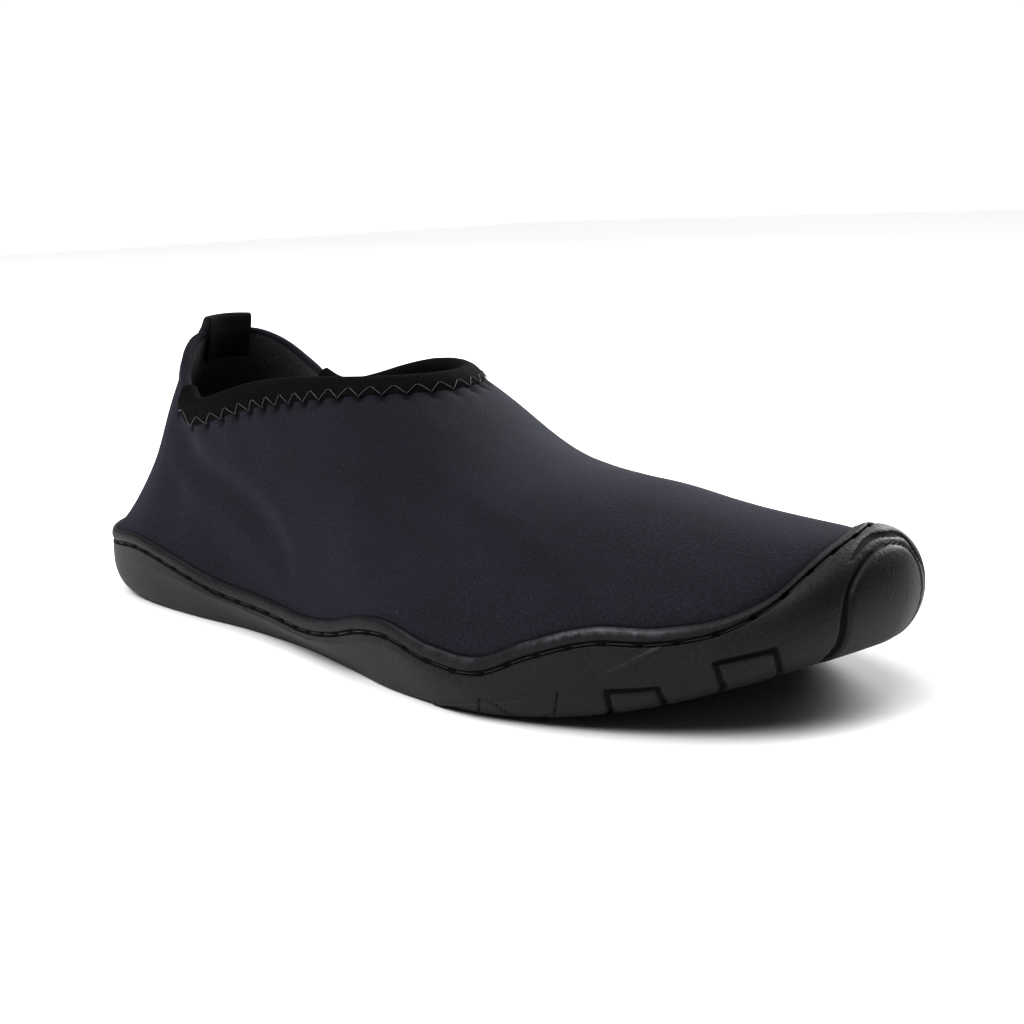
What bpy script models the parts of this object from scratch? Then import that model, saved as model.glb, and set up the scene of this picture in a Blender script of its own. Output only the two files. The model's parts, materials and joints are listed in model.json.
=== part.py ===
"""Right water shoe, standing empty: a stretch upper on a one-piece rubber cup sole.

Metres, +Z up, +X to the toe, -Y to the outer (lateral) side of the foot.
The origin is on the floor, under the middle of the sole.
"""

import math

import bmesh
import bpy
from mathutils import Vector

# Driving sizes of the sole
SOLE_LENGTH = 0.280
BALL_WIDTH = 0.1022
TOE_SPRING = 0.0182
SPRING_START = 0.725
ARCH_RISE = 0.0020
SOLE_THICKNESS = 0.0052
SIDE_TUCK = 0.0140
SIDE_HEIGHT = 0.0200
RIM_HEIGHT = 0.0036
RIM_WIDTH = 0.0024
TOE_LEAN = 0.0130
WALL_THICKNESS = 0.0032
STITCH_GROOVE_DEPTH = 0.0009
STITCH_GROOVE_WIDTH = 0.0014
TREAD_DEPTH = 0.0011
TREAD_WIDTH = 0.0015

# Driving sizes of the upper
UPPER_WALL = 0.0022
HEEL_HEIGHT = 0.0755
ANKLE_HEIGHT = 0.0580
INSTEP_HEIGHT = 0.0675
CROWN_FALL = 0.0090
TOE_HEIGHT = 0.0390
COLLAR_WIDTH = 0.0600
COLLAR_SETBACK = 0.0410
COLLAR_LENGTH = 0.1090
INSOLE_THICKNESS = 0.0030
BAND_HEIGHT = 0.0092
THROAT_BAND_HEIGHT = 0.0055
BAND_THICKNESS = 0.0011
BAND_START = 0.17
TAB_WIDTH = 0.0160
TAB_RISE = 0.0060
TAB_OVERLAP = 0.0070
TAB_THICKNESS = 0.0013

# Clearances: between pieces that meet, of the upper's foot from the wall of the cup, of the insole from
# the upper, and of the binding from the edge that it folds over
GAP = 0.0003
FOOT_CLEAR = 0.0008
INSOLE_CLEAR = 0.0012
BAND_CLEAR = 0.0006

# Fineness of the faceted solids
AROUND = 96
UPPER_LEVELS = 8

# Outline of the sole at its widest, on both sides, and how far the walking face is tucked in below it.
# station: share of SOLE_LENGTH from the heel; lateral, medial: share of BALL_WIDTH from the centre line;
# tucks: share of SIDE_TUCK; round: 0 a straight flare off a crisp edge, 1 a rounded edge;
# belly: height of the widest line as a share of the height of the rim
OUTLINE = (
    # station, lateral, medial, lateral_tuck, medial_tuck, round, belly
    (0.000, -0.076, 0.076, 0.60, 0.60, 1.0, 0.52),
    (0.010, 0.046, 0.198, 0.60, 0.60, 1.0, 0.52),
    (0.040, 0.154, 0.308, 0.56, 0.62, 1.0, 0.52),
    (0.090, 0.250, 0.392, 0.46, 0.64, 1.0, 0.54),
    (0.160, 0.307, 0.444, 0.42, 0.66, 0.8, 0.60),
    (0.250, 0.333, 0.440, 0.38, 0.76, 0.3, 0.66),
    (0.350, 0.343, 0.408, 0.40, 0.96, 0.0, 0.62),
    (0.450, 0.382, 0.394, 0.46, 1.00, 0.0, 0.54),
    (0.550, 0.444, 0.414, 0.44, 0.82, 0.0, 0.58),
    (0.620, 0.480, 0.448, 0.36, 0.52, 0.2, 0.68),
    (0.700, 0.500, 0.485, 0.42, 0.44, 0.7, 0.64),
    (0.780, 0.477, 0.500, 0.52, 0.52, 1.0, 0.58),
    (0.860, 0.418, 0.461, 0.58, 0.58, 1.0, 0.52),
    (0.920, 0.334, 0.394, 0.60, 0.60, 1.0, 0.48),
    (0.965, 0.227, 0.300, 0.56, 0.56, 1.0, 0.42),
    (0.990, 0.112, 0.190, 0.50, 0.50, 1.0, 0.38),
    (1.000, -0.052, 0.052, 0.46, 0.46, 1.0, 0.36),
)

# The waved top of the rim, as a share of SIDE_HEIGHT above the walking face, and how far the wall
# curls in over the foot, as a share of TOE_LEAN
WAVE = (
    # station, lateral, medial, lateral_lean, medial_lean
    (0.00, 0.92, 0.92, 0.06, 0.06),
    (0.10, 0.98, 0.98, 0.04, 0.04),
    (0.18, 1.04, 1.02, 0.02, 0.02),
    (0.25, 0.88, 0.91, 0.01, 0.01),
    (0.32, 0.69, 0.78, 0.00, 0.00),
    (0.42, 0.62, 0.70, 0.00, 0.00),
    (0.49, 0.585, 0.68, 0.00, 0.00),
    (0.55, 0.69, 0.75, 0.00, 0.00),
    (0.60, 0.86, 0.88, 0.00, 0.00),
    (0.64, 0.91, 0.91, 0.01, 0.01),
    (0.70, 0.76, 0.76, 0.02, 0.02),
    (0.75, 0.71, 0.73, 0.03, 0.03),
    (0.80, 0.91, 0.92, 0.05, 0.05),
    (0.85, 1.00, 1.02, 0.08, 0.10),
    (0.90, 0.85, 0.92, 0.12, 0.22),
    (0.94, 0.775, 0.95, 0.22, 0.50),
    (0.965, 0.83, 1.16, 0.40, 0.85),
    (0.985, 1.01, 1.33, 0.68, 1.00),
    (1.00, 1.28, 1.28, 0.95, 0.95),
)

# The nested V grooves under the forefoot. Each arm runs from the apex through a bend to an end on the side
# of the sole. stations: shares of SOLE_LENGTH from the heel; across: shares of BALL_WIDTH from the middle
TREAD = (
    # apex: station, across; lateral bend: station, across; end: station, across; then the medial arm's
    ((0.588, -0.040), (0.700, -0.158), (0.865, -0.405), (0.712, 0.146), (0.848, 0.435)),
    ((0.652, -0.036), (0.743, -0.108), (0.902, -0.349), (0.752, 0.102), (0.892, 0.382)),
    ((0.736, -0.022), (0.812, -0.095), (0.939, -0.287), (0.836, 0.118), (0.934, 0.340)),
    ((0.820, -0.006), (0.872, -0.060), (0.968, -0.205), (0.878, 0.096), (0.962, 0.282)),
    ((0.876, 0.008), (0.925, -0.040), (0.988, -0.100), (0.925, 0.070), (0.984, 0.180)),
)

# How full each side of the upper is between the rim and the collar: 1 is a straight line, more is
# rounder, less is hollow
FULLNESS = (
    # station, lateral, medial
    (0.00, 0.88, 0.88),
    (0.15, 0.90, 0.90),
    (0.30, 1.02, 1.00),
    (0.45, 1.07, 1.05),
    (0.55, 1.18, 1.15),
    (0.65, 1.40, 1.36),
    (0.85, 1.95, 1.85),
    (1.00, 2.60, 2.60),
)

# Where the upper's lines up from the sole arrive at the collar: share of SOLE_LENGTH, share of COLLAR_LENGTH
ARRIVAL = (
    # sole_station, collar_station
    (0.00, 0.000),
    (0.05, 0.012),
    (0.15, 0.075),
    (0.25, 0.200),
    (0.35, 0.380),
    (0.45, 0.570),
    (0.55, 0.730),
    (0.65, 0.840),
    (0.80, 0.940),
    (1.00, 1.000),
)

# The collar in plan and from the side. station: share of COLLAR_LENGTH from its back; half: share of half
# the COLLAR_WIDTH; to_heel, to_instep: how far the edge rises from ANKLE_HEIGHT to the two ends' heights
COLLAR = (
    # station, half, to_heel, to_instep
    (0.000, 0.00, 1.00, 0.00),
    (0.030, 0.37, 0.94, 0.00),
    (0.075, 0.56, 0.76, 0.00),
    (0.150, 0.75, 0.32, 0.00),
    (0.225, 0.87, 0.04, 0.00),
    (0.310, 0.95, 0.00, 0.08),
    (0.400, 0.99, 0.00, 0.28),
    (0.490, 1.00, 0.00, 0.52),
    (0.630, 0.97, 0.00, 0.82),
    (0.770, 0.85, 0.00, 0.97),
    (0.900, 0.61, 0.00, 1.00),
    (0.970, 0.35, 0.00, 1.00),
    (1.000, 0.00, 0.00, 1.00),
)

# The ridge of the upper from the throat to the toe, as a share of the way from TOE_HEIGHT to INSTEP_HEIGHT
RIDGE = (
    # station ahead of the throat, height
    (0.00, 1.000),
    (0.04, 0.872),
    (0.09, 0.712),
    (0.15, 0.552),
    (0.23, 0.410),
    (0.31, 0.326),
    (0.39, 0.285),
    (0.50, 0.255),
    (0.59, 0.205),
    (0.69, 0.145),
    (0.81, 0.085),
    (0.91, 0.035),
    (1.00, 0.000),
)


def hermite(before, low, high, after, at):
    """Height at a key on a smooth curve through four neighbouring (key, value) points."""

    def slope(a, b, c):
        left = (b[1] - a[1]) / (b[0] - a[0]) if b[0] > a[0] else None
        right = (c[1] - b[1]) / (c[0] - b[0]) if c[0] > b[0] else None
        if left is None or right is None:
            return right if left is None else left
        return (left * (c[0] - b[0]) + right * (b[0] - a[0])) / (c[0] - a[0])

    span = high[0] - low[0]
    t = (at - low[0]) / span
    rise = slope(before, low, high) * span
    fall = slope(low, high, after) * span
    return (
        low[1] * (1 + 2 * t) * (1 - t) ** 2
        + rise * t * (1 - t) ** 2
        + high[1] * t * t * (3 - 2 * t)
        - fall * t * t * (1 - t)
    )


def smooth(points, at):
    """Value at a key on a smooth curve through (key, value) points, held level past its ends."""
    last = len(points) - 1
    if at <= points[0][0]:
        return points[0][1]
    if at >= points[last][0]:
        return points[last][1]
    i = 0
    while points[i + 1][0] < at:
        i += 1
    return hermite(points[max(i - 1, 0)], points[i], points[i + 1], points[min(i + 2, last)], at)


def angle_of(station):
    """The angle around the shoe at a share of its length: 0 at the heel, pi at the toe."""
    return math.acos(1 - 2 * station)


def station_of(theta):
    return (1 - math.cos(theta)) / 2


def loop(rows, lateral, medial, lateral_sign=1):
    """Columns of a table taken once around the shoe: up the lateral side and back down the medial."""
    up = [(angle_of(row[0]), lateral_sign * row[lateral]) for row in rows]
    down = [(2 * math.pi - angle_of(row[0]), row[medial]) for row in reversed(rows[1:-1])]
    return up + down


def around(points, theta):
    """Value at an angle on a smooth closed curve through (angle, value) points."""
    turn = 2 * math.pi
    theta = theta % turn
    count = len(points)
    i = count - 1
    while points[i][0] > theta:
        i -= 1

    def at(k):
        return points[k % count][0] + turn * (k // count), points[k % count][1]

    return hermite(at(i - 1), at(i), at(i + 1), at(i + 2), theta)


EDGE = loop(OUTLINE, 1, 2, -1)
TUCK = loop(OUTLINE, 3, 4)
ROUND = loop(OUTLINE, 5, 5)
BELLY = loop(OUTLINE, 6, 6)
RIM = loop(WAVE, 1, 2)
LEAN = loop(WAVE, 3, 4)
FULL = loop(FULLNESS, 1, 2)
COLLAR_HALF = loop(COLLAR, 1, 1, -1)
ARRIVE = [(angle_of(row[0]), angle_of(row[1])) for row in ARRIVAL]
COLLAR_TO_HEEL = [(row[0], row[2]) for row in COLLAR]
COLLAR_TO_INSTEP = [(row[0], row[3]) for row in COLLAR]


def outline(theta):
    """A point of the widest line of the sole, in plan."""
    return Vector((SOLE_LENGTH * (station_of(theta) - 0.5), BALL_WIDTH * around(EDGE, theta)))


def inset(theta, distance):
    """The widest line moved inwards, in plan."""
    step = 0.01
    along = outline(theta + step) - outline(theta - step)
    inward = Vector((-along.y, along.x)).normalized()
    return outline(theta) + inward * distance


def floor_height(x, y):
    """Height of the walking face: flat, but for the toe spring and the arch on the medial side."""
    share = x / SOLE_LENGTH + 0.5
    rise = 0.0
    if share > SPRING_START:
        rise = TOE_SPRING * ((share - SPRING_START) / (1 - SPRING_START)) ** 2
    arch_start, arch_end = 0.28, 0.62
    if arch_start < share < arch_end:
        medial = min(1.0, max(0.0, 0.5 + y / (BALL_WIDTH * 0.5)))
        along = math.sin(math.pi * (share - arch_start) / (arch_end - arch_start)) ** 2
        rise += ARCH_RISE * along * medial * medial * (3 - 2 * medial)
    return rise


def rim_height(theta):
    """Height of the top of the rim above the walking face."""
    return SIDE_HEIGHT * around(RIM, theta)


def belly_height(theta):
    """Height of the widest line above the walking face."""
    return rim_height(theta) * around(BELLY, theta)


def under_wall(theta, share):
    """Inset and height of the wall's outside below its widest line: 0 at the floor, 1 at the line."""
    tuck = SIDE_TUCK * around(TUCK, theta)
    rounded = 1 - math.sqrt(1 - (1 - share) ** 2)
    straight = 1 - share
    return tuck * (straight + (rounded - straight) * around(ROUND, theta)), belly_height(theta) * share


def over_wall(theta, from_top, depth=0.0):
    """Inset and height of the wall's outside at a distance along it from the top of the rim."""
    lean = TOE_LEAN * around(LEAN, theta)
    height = rim_height(theta) - belly_height(theta)
    steps = 60
    walked = 0.0
    i = steps
    while i > 0 and walked < from_top:
        i -= 1
        a = math.pi / 2 * i / steps
        walked += math.hypot(lean * math.sin(a), height * math.cos(a)) * math.pi / 2 / steps
    return wall_curve(theta, i / steps, depth)


def wall_curve(theta, share, depth=0.0):
    """Inset and height of the wall's outside above its widest line: 0 at the line, 1 at the rim's top."""
    lean = TOE_LEAN * around(LEAN, theta)
    height = rim_height(theta) - belly_height(theta)
    a = math.pi / 2 * share
    inward = Vector((height * math.cos(a) + 1e-9, -lean * math.sin(a))).normalized()
    return (
        lean * (1 - math.cos(a)) + inward.x * depth,
        belly_height(theta) + height * math.sin(a) + inward.y * depth,
    )


def rim_inner(theta, clearance=0.0):
    """Inset and height of the inner edge of the rim."""
    lean = TOE_LEAN * around(LEAN, theta)
    return lean + RIM_WIDTH + clearance, rim_height(theta)


def bed_edge(theta, clearance=0.0):
    """Inset and height of the edge of the bed, inside the cup."""
    share = min(1.0, SOLE_THICKNESS / belly_height(theta))
    return under_wall(theta, share)[0] + WALL_THICKNESS + clearance, SOLE_THICKNESS


def place(theta, inset_and_height, lift=0.0):
    """A point at an inset and a height above the walking face."""
    flat = inset(theta, inset_and_height[0])
    return Vector((flat.x, flat.y, floor_height(flat.x, flat.y) + inset_and_height[1] + lift))


def ring(section, count=AROUND):
    """A closed ring of points, section giving the inset and height at each angle."""
    return [place(2 * math.pi * i / count, section(2 * math.pi * i / count)) for i in range(count)]


def towards_middle(points, share):
    """A ring drawn in towards the middle line, following the walking face."""
    count = len(points)
    drawn = []
    for i, point in enumerate(points):
        middle = (point + points[(count - i) % count]) / 2
        end = abs(math.cos(2 * math.pi * i / count))
        target = Vector((middle.x * (1 - 0.12 * end ** 6), middle.y))
        flat = target.lerp(point.xy, share)
        lift = point.z - floor_height(point.x, point.y)
        drawn.append(Vector((flat.x, flat.y, floor_height(flat.x, flat.y) + lift)))
    return drawn


def add_ring(bm, points):
    return [bm.verts.new(point) for point in points]


def bridge(bm, lower, upper, closed=True):
    """Faces between two rings, seen from outside with the first ring below."""
    count = len(lower)
    for i in range(count if closed else count - 1):
        k = (i + 1) % count
        bm.faces.new((lower[i], lower[k], upper[k], upper[i]))


def ladder(bm, verts, facing_up):
    """A cap over a ring, with rungs from the lateral to the medial side."""
    count = len(verts)
    half = count // 2
    for i in range(half):
        a = verts[i]
        b = verts[i + 1]
        c = verts[(count - i - 1) % count]
        d = verts[(count - i) % count]
        corners = [v for n, v in enumerate((a, b, c, d)) if v not in (a, b, c, d)[:n]]
        if not facing_up:
            corners.reverse()
        bm.faces.new(corners)


def make_object(name, bm, parts, material):
    bmesh.ops.recalc_face_normals(bm, faces=bm.faces)
    mesh = bpy.data.meshes.new(name)
    bm.to_mesh(mesh)
    bm.free()
    obj = bpy.data.objects.new(name, mesh)
    parts.objects.link(obj)
    mesh.materials.append(material)
    mesh.shade_smooth()
    mesh.set_sharp_from_angle(angle=math.radians(50))
    return obj


def make_material(name, colour, roughness, metallic=0.0):
    material = bpy.data.materials.new(name)
    material.use_nodes = True
    shader = material.node_tree.nodes["Principled BSDF"]
    shader.inputs["Base Color"].default_value = (*colour, 1)
    shader.inputs["Roughness"].default_value = roughness
    shader.inputs["Metallic"].default_value = metallic
    return material


def wall_length(theta):
    """Length of the wall's outside from its widest line to the top of the rim."""
    lean = TOE_LEAN * around(LEAN, theta)
    height = rim_height(theta) - belly_height(theta)
    steps = 60
    quarter = [math.pi / 2 * (i + 0.5) / steps for i in range(steps)]
    return sum(math.hypot(lean * math.sin(a), height * math.cos(a)) for a in quarter) * math.pi / 2 / steps


def groove_lip(theta, share):
    """Distance from the rim's top to a share of the wall below the groove: 0 at the groove's lower lip."""
    lip = RIM_HEIGHT + STITCH_GROOVE_WIDTH / 2
    return lip + (wall_length(theta) - lip) * share


def wall_rise(flat):
    """Height of the outside of the sole above the walking face, over a point in plan near its edge."""
    tries = [2 * math.pi * i / (4 * AROUND) for i in range(4 * AROUND)]
    theta = min(tries, key=lambda t: (outline(t) - flat).length)
    share = 1 - (outline(theta) - flat).length / (SIDE_TUCK * around(TUCK, theta))
    if share <= 0:
        return 0.0
    return belly_height(theta) * (1 - math.sqrt(max(0.0, 1 - share * share)))


def make_groove_cutter(name, ends, cutters):
    """A ribbon along a curve from the apex through the bend to the end, as deep as the tread."""
    apex, bend, end = [Vector(((s - 0.5) * SOLE_LENGTH, a * BALL_WIDTH)) for s, a in ends]
    pieces = 6
    bm = bmesh.new()
    rings = []
    for i in range(pieces + 1):
        t = i / pieces
        control = bend * 2 - (apex + end) / 2
        flat = apex * (1 - t) ** 2 + control * 2 * t * (1 - t) + end * t * t
        along = ((control - apex) * (1 - t) + (end - control) * t).normalized()
        across = Vector((-along.y, along.x)) * TREAD_WIDTH / 2
        top = floor_height(flat.x, flat.y) + wall_rise(flat) + TREAD_DEPTH
        corners = (flat - across, flat + across)
        points = [Vector((*corner, -SOLE_THICKNESS)) for corner in corners]
        points += [Vector((*corner, top)) for corner in reversed(corners)]
        rings.append(add_ring(bm, points))
    for first, second in zip(rings, rings[1:]):
        bridge(bm, first, second)
    bm.faces.new(rings[0])
    bm.faces.new(reversed(rings[-1]))
    cutter = make_object(name, bm, cutters, make_material(name, (0.5, 0.1, 0.1), 0.5))
    cutter.hide_render = True
    cutter.display_type = "WIRE"
    return cutter


def cut_tread(outsole, cutters):
    """Cuts both arms of every V groove."""
    for k, (apex, lateral_bend, lateral_end, medial_bend, medial_end) in enumerate(TREAD):
        for side, ends in (("lateral", (apex, lateral_bend, lateral_end)), ("medial", (apex, medial_bend, medial_end))):
            cut = outsole.modifiers.new(f"{side} groove {k + 1}", "BOOLEAN")
            cut.object = make_groove_cutter(f"cut_{side}_{k + 1}", ends, cutters)
            cut.operation = "DIFFERENCE"
            cut.solver = "EXACT"


def make_outsole(parts):
    """The cup sole: walking face, side wall, stitched groove, rim and bed in one body."""
    bm = bmesh.new()
    foot = ring(lambda t: under_wall(t, 0.0))
    half_groove = STITCH_GROOVE_WIDTH / 2
    shoulder = RIM_WIDTH * 0.35
    profile = [
        towards_middle(foot, 0.5),
        foot,
        ring(lambda t: under_wall(t, 0.06)),
        ring(lambda t: under_wall(t, 0.25)),
        ring(lambda t: under_wall(t, 0.60)),
        ring(lambda t: wall_curve(t, 0.0)),
        ring(lambda t: over_wall(t, groove_lip(t, 0.62))),
        ring(lambda t: over_wall(t, groove_lip(t, 0.28))),
        ring(lambda t: over_wall(t, RIM_HEIGHT + half_groove)),
        ring(lambda t: over_wall(t, RIM_HEIGHT + half_groove * 0.8, STITCH_GROOVE_DEPTH)),
        ring(lambda t: over_wall(t, RIM_HEIGHT - half_groove * 0.8, STITCH_GROOVE_DEPTH)),
        ring(lambda t: over_wall(t, RIM_HEIGHT - half_groove)),
        ring(lambda t: over_wall(t, shoulder)),
        ring(lambda t: rim_inner(t, -RIM_WIDTH + shoulder)),
        ring(lambda t: (rim_inner(t)[0], rim_height(t) - shoulder / 2)),
        ring(lambda t: (rim_inner(t)[0], rim_height(t) - RIM_WIDTH)),
        ring(lambda t: over_wall(t, groove_lip(t, 0.30), WALL_THICKNESS)),
        ring(bed_edge),
    ]
    profile.append(towards_middle(profile[-1], 0.5))
    rings = [add_ring(bm, points) for points in profile]
    for lower, upper in zip(rings, rings[1:]):
        bridge(bm, lower, upper)
    ladder(bm, rings[0], facing_up=False)
    ladder(bm, rings[-1], facing_up=True)
    return make_object("outsole", bm, parts, make_material("rubber", (0.022, 0.022, 0.025), 0.55))


def collar_back():
    return -SOLE_LENGTH / 2 + COLLAR_SETBACK


def collar_height(x):
    """The side view of the collar's edge, and its height carried on ahead of the throat."""
    share = min(1.0, (x - collar_back()) / COLLAR_LENGTH)
    to_heel = smooth(COLLAR_TO_HEEL, share)
    to_instep = smooth(COLLAR_TO_INSTEP, share)
    return ANKLE_HEIGHT + (HEEL_HEIGHT - ANKLE_HEIGHT) * to_heel + (INSTEP_HEIGHT - ANKLE_HEIGHT) * to_instep


def vamp_fall(edge, away):
    """How much lower than the collar the upper's top is, away from a point of the front of the collar."""
    throat = collar_back() + COLLAR_LENGTH
    forward = max(0.0, 2 * (edge.x - collar_back()) / COLLAR_LENGTH - 1)
    ahead = away * forward / (SOLE_LENGTH / 2 - throat)
    return (INSTEP_HEIGHT - TOE_HEIGHT) * (1 - smooth(RIDGE, ahead))


def collar_edge(theta):
    """The point of the collar's edge that the upper's line from an angle around the sole arrives at."""
    theta = theta % (2 * math.pi)
    lateral = theta <= math.pi
    arrival = smooth(ARRIVE, theta if lateral else 2 * math.pi - theta)
    share = station_of(arrival)
    x = collar_back() + COLLAR_LENGTH * share
    heel_angle, throat_angle = 0.6, 1.75
    heel_middle = (outline(heel_angle).y + outline(-heel_angle).y) / 2
    throat_middle = (outline(throat_angle).y + outline(-throat_angle).y) / 2
    middle = heel_middle + (throat_middle - heel_middle) * share
    half = COLLAR_WIDTH / 2 * around(COLLAR_HALF, arrival if lateral else -arrival)
    return Vector((x, middle + half, collar_height(x)))


def upper_point(theta, level):
    """A point of the outside of the upper: level 0 at the rim, 1 at the collar."""
    start = place(theta, rim_inner(theta, GAP))
    edge = collar_edge(theta)
    eased = 1 - math.cos(level * math.pi / 2)
    t = level + (eased - level) * station_of(theta)
    flat = start.xy.lerp(edge.xy, t)
    fullness = around(FULL, theta)
    rise = (1 - (1 - t) ** fullness) ** (1 / fullness)
    top = collar_height(flat.x) - vamp_fall(edge, (flat - edge.xy).length) - crown_fall(flat)
    return Vector((flat.x, flat.y, start.z + (top - start.z) * rise))


def crown_fall(flat):
    """How much lower than its ridge the upper is to the sides, ahead of the throat."""
    throat = collar_back() + COLLAR_LENGTH
    ahead = min(1.0, max(0.0, (flat.x - throat) / (COLLAR_WIDTH / 2)))
    theta = angle_of(min(1.0, flat.x / SOLE_LENGTH + 0.5))
    lateral = outline(theta).y
    medial = outline(-theta).y
    if medial - lateral < GAP:
        return 0.0
    across = (2 * flat.y - lateral - medial) / (medial - lateral)
    return CROWN_FALL * ahead * ahead * (3 - 2 * ahead) * min(1.0, across * across)


def band_height(theta):
    """Height of the binding's sides: full at its ends, lower at the throat."""
    share = (collar_edge(theta).x - collar_back()) / COLLAR_LENGTH
    ahead = min(1.0, max(0.0, (share - 0.5) / 0.4))
    return BAND_HEIGHT + (THROAT_BAND_HEIGHT - BAND_HEIGHT) * ahead * ahead * (3 - 2 * ahead)


def band_level(theta):
    """The level of the upper at which the binding's lower edge lies, measured down from the collar."""
    edge = upper_point(theta, 1.0)
    level = 1.0
    while (upper_point(theta, level) - edge).length < band_height(theta) + BAND_CLEAR:
        level -= 0.002
    return level


def make_upper(parts):
    """One stretch shell, open at the collar and underneath, where the sole closes it."""
    thetas = [2 * math.pi * i / AROUND for i in range(AROUND)]
    bm = bmesh.new()
    foot_depth = WALL_THICKNESS + FOOT_CLEAR

    def under_rim(theta):
        drop = RIM_WIDTH + FOOT_CLEAR * around(LEAN, theta)
        return rim_inner(theta, GAP)[0], rim_height(theta) - drop

    rings = [
        add_ring(bm, [place(t, bed_edge(t, FOOT_CLEAR), GAP) for t in thetas]),
        add_ring(bm, [place(t, bed_edge(t, FOOT_CLEAR), GAP + FOOT_CLEAR) for t in thetas]),
        add_ring(bm, [place(t, over_wall(t, groove_lip(t, 0.30), foot_depth)) for t in thetas]),
        add_ring(bm, [place(t, under_rim(t)) for t in thetas]),
    ]
    band_levels = [band_level(theta) for theta in thetas]
    for k in range(UPPER_LEVELS + 1):
        share = k / UPPER_LEVELS
        rings.append(add_ring(bm, [upper_point(t, share * b) for t, b in zip(thetas, band_levels)]))
    rings.append(add_ring(bm, [upper_point(theta, 1.0) for theta in thetas]))
    for lower, upper in zip(rings, rings[1:]):
        bridge(bm, lower, upper)
    obj = make_object("upper", bm, parts, make_material("knit", (0.020, 0.021, 0.028), 0.85))
    shell = obj.modifiers.new("wall", "SOLIDIFY")
    shell.thickness = UPPER_WALL
    shell.offset = -1
    return obj


def fold_over(bm, thetas, section, height):
    """A strip folded over the collar's edge.

    section lists its corners as (outward, down); below the edge, down is a share of the strip's height.
    """
    step = 2 * math.pi / AROUND

    def low_point(theta):
        return upper_point(theta, band_level(theta))

    rings = []
    for theta in thetas:
        edge = upper_point(theta, 1.0)
        down = (low_point(theta) - edge).normalized()
        along = upper_point(theta + step, 1.0) - upper_point(theta - step, 1.0)
        along_low = low_point(theta + step) - low_point(theta - step)
        outward = down.cross(along).normalized()
        outward_low = down.cross(along_low).normalized()
        corners = []
        for out, drop in section:
            share = max(0.0, drop)
            fall = share * height(theta) if drop > 0 else drop
            corners.append(edge + down * fall + outward.lerp(outward_low, share) * out)
        rings.append(add_ring(bm, corners))
    for first, second in zip(rings, rings[1:]):
        bridge(bm, first, second)
    bm.faces.new(rings[0])
    bm.faces.new(reversed(rings[-1]))


def make_collar_band(parts):
    """The stretch binding folded over the edge of the collar, from ankle to ankle round the throat."""
    outer = BAND_CLEAR + BAND_THICKNESS
    inner = UPPER_WALL + BAND_CLEAR + BAND_THICKNESS
    section = (
        (BAND_CLEAR, 1.0),
        (outer, 1.0),
        (outer, 0.0),
        (outer - BAND_THICKNESS * 0.7, -outer),
        (BAND_THICKNESS * 0.7 - inner, -outer),
        (-inner, 0.0),
        (-inner, 1.0),
        (-UPPER_WALL - BAND_CLEAR, 1.0),
        (-UPPER_WALL - BAND_CLEAR, -BAND_CLEAR),
        (BAND_CLEAR, -BAND_CLEAR),
    )
    start = 0
    while (collar_edge(2 * math.pi * start / AROUND).x - collar_back()) / COLLAR_LENGTH < BAND_START:
        start += 1
    thetas = [2 * math.pi * i / AROUND for i in range(start, AROUND - start + 1)]
    bm = bmesh.new()
    fold_over(bm, thetas, section, band_height)
    return make_object("collar_band", bm, parts, make_material("binding", (0.016, 0.016, 0.020), 0.7))


def make_heel_tab(parts):
    """The pull tab folded over the top of the heel."""
    outer = BAND_CLEAR + TAB_THICKNESS
    inner = UPPER_WALL + BAND_CLEAR + TAB_THICKNESS
    section = (
        (BAND_CLEAR, 1.0),
        (outer, 1.0),
        (outer, 0.0),
        (outer - TAB_THICKNESS, -TAB_RISE * 0.8),
        (outer - TAB_THICKNESS * 1.8, -TAB_RISE),
        (TAB_THICKNESS * 1.8 - inner, -TAB_RISE),
        (TAB_THICKNESS - inner, -TAB_RISE * 0.8),
        (-inner, 0.0),
        (-inner, 1.0),
        (-UPPER_WALL - BAND_CLEAR, 1.0),
        (-UPPER_WALL - BAND_CLEAR, -BAND_CLEAR),
        (BAND_CLEAR, -BAND_CLEAR),
    )
    reach = 0
    while (upper_point(reach, 1.0) - upper_point(-reach, 1.0)).length < TAB_WIDTH:
        reach += 0.01
    thetas = [reach * (i / 4 - 1) for i in range(9)]
    bm = bmesh.new()
    fold_over(bm, thetas, section, lambda theta: TAB_OVERLAP)
    return make_object("heel_tab", bm, parts, make_material("tab", (0.016, 0.016, 0.020), 0.7))


def make_insole(parts):
    """The loose foam insole on the bed, inside the foot of the upper."""
    count = AROUND // 2
    clear = FOOT_CLEAR + UPPER_WALL + INSOLE_CLEAR

    def edge(height, extra=0.0):
        return ring(lambda t: (bed_edge(t, clear + extra)[0], SOLE_THICKNESS + GAP + height), count)

    bottom = edge(0.0)
    top = edge(INSOLE_THICKNESS, INSOLE_THICKNESS / 4)
    profile = [
        towards_middle(bottom, 0.5),
        bottom,
        edge(INSOLE_THICKNESS * 0.75),
        top,
        towards_middle(top, 0.5),
    ]
    bm = bmesh.new()
    rings = [add_ring(bm, points) for points in profile]
    for lower, upper in zip(rings, rings[1:]):
        bridge(bm, lower, upper)
    ladder(bm, rings[0], facing_up=False)
    ladder(bm, rings[-1], facing_up=True)
    return make_object("insole", bm, parts, make_material("foam", (0.018, 0.018, 0.020), 0.9))


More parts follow.
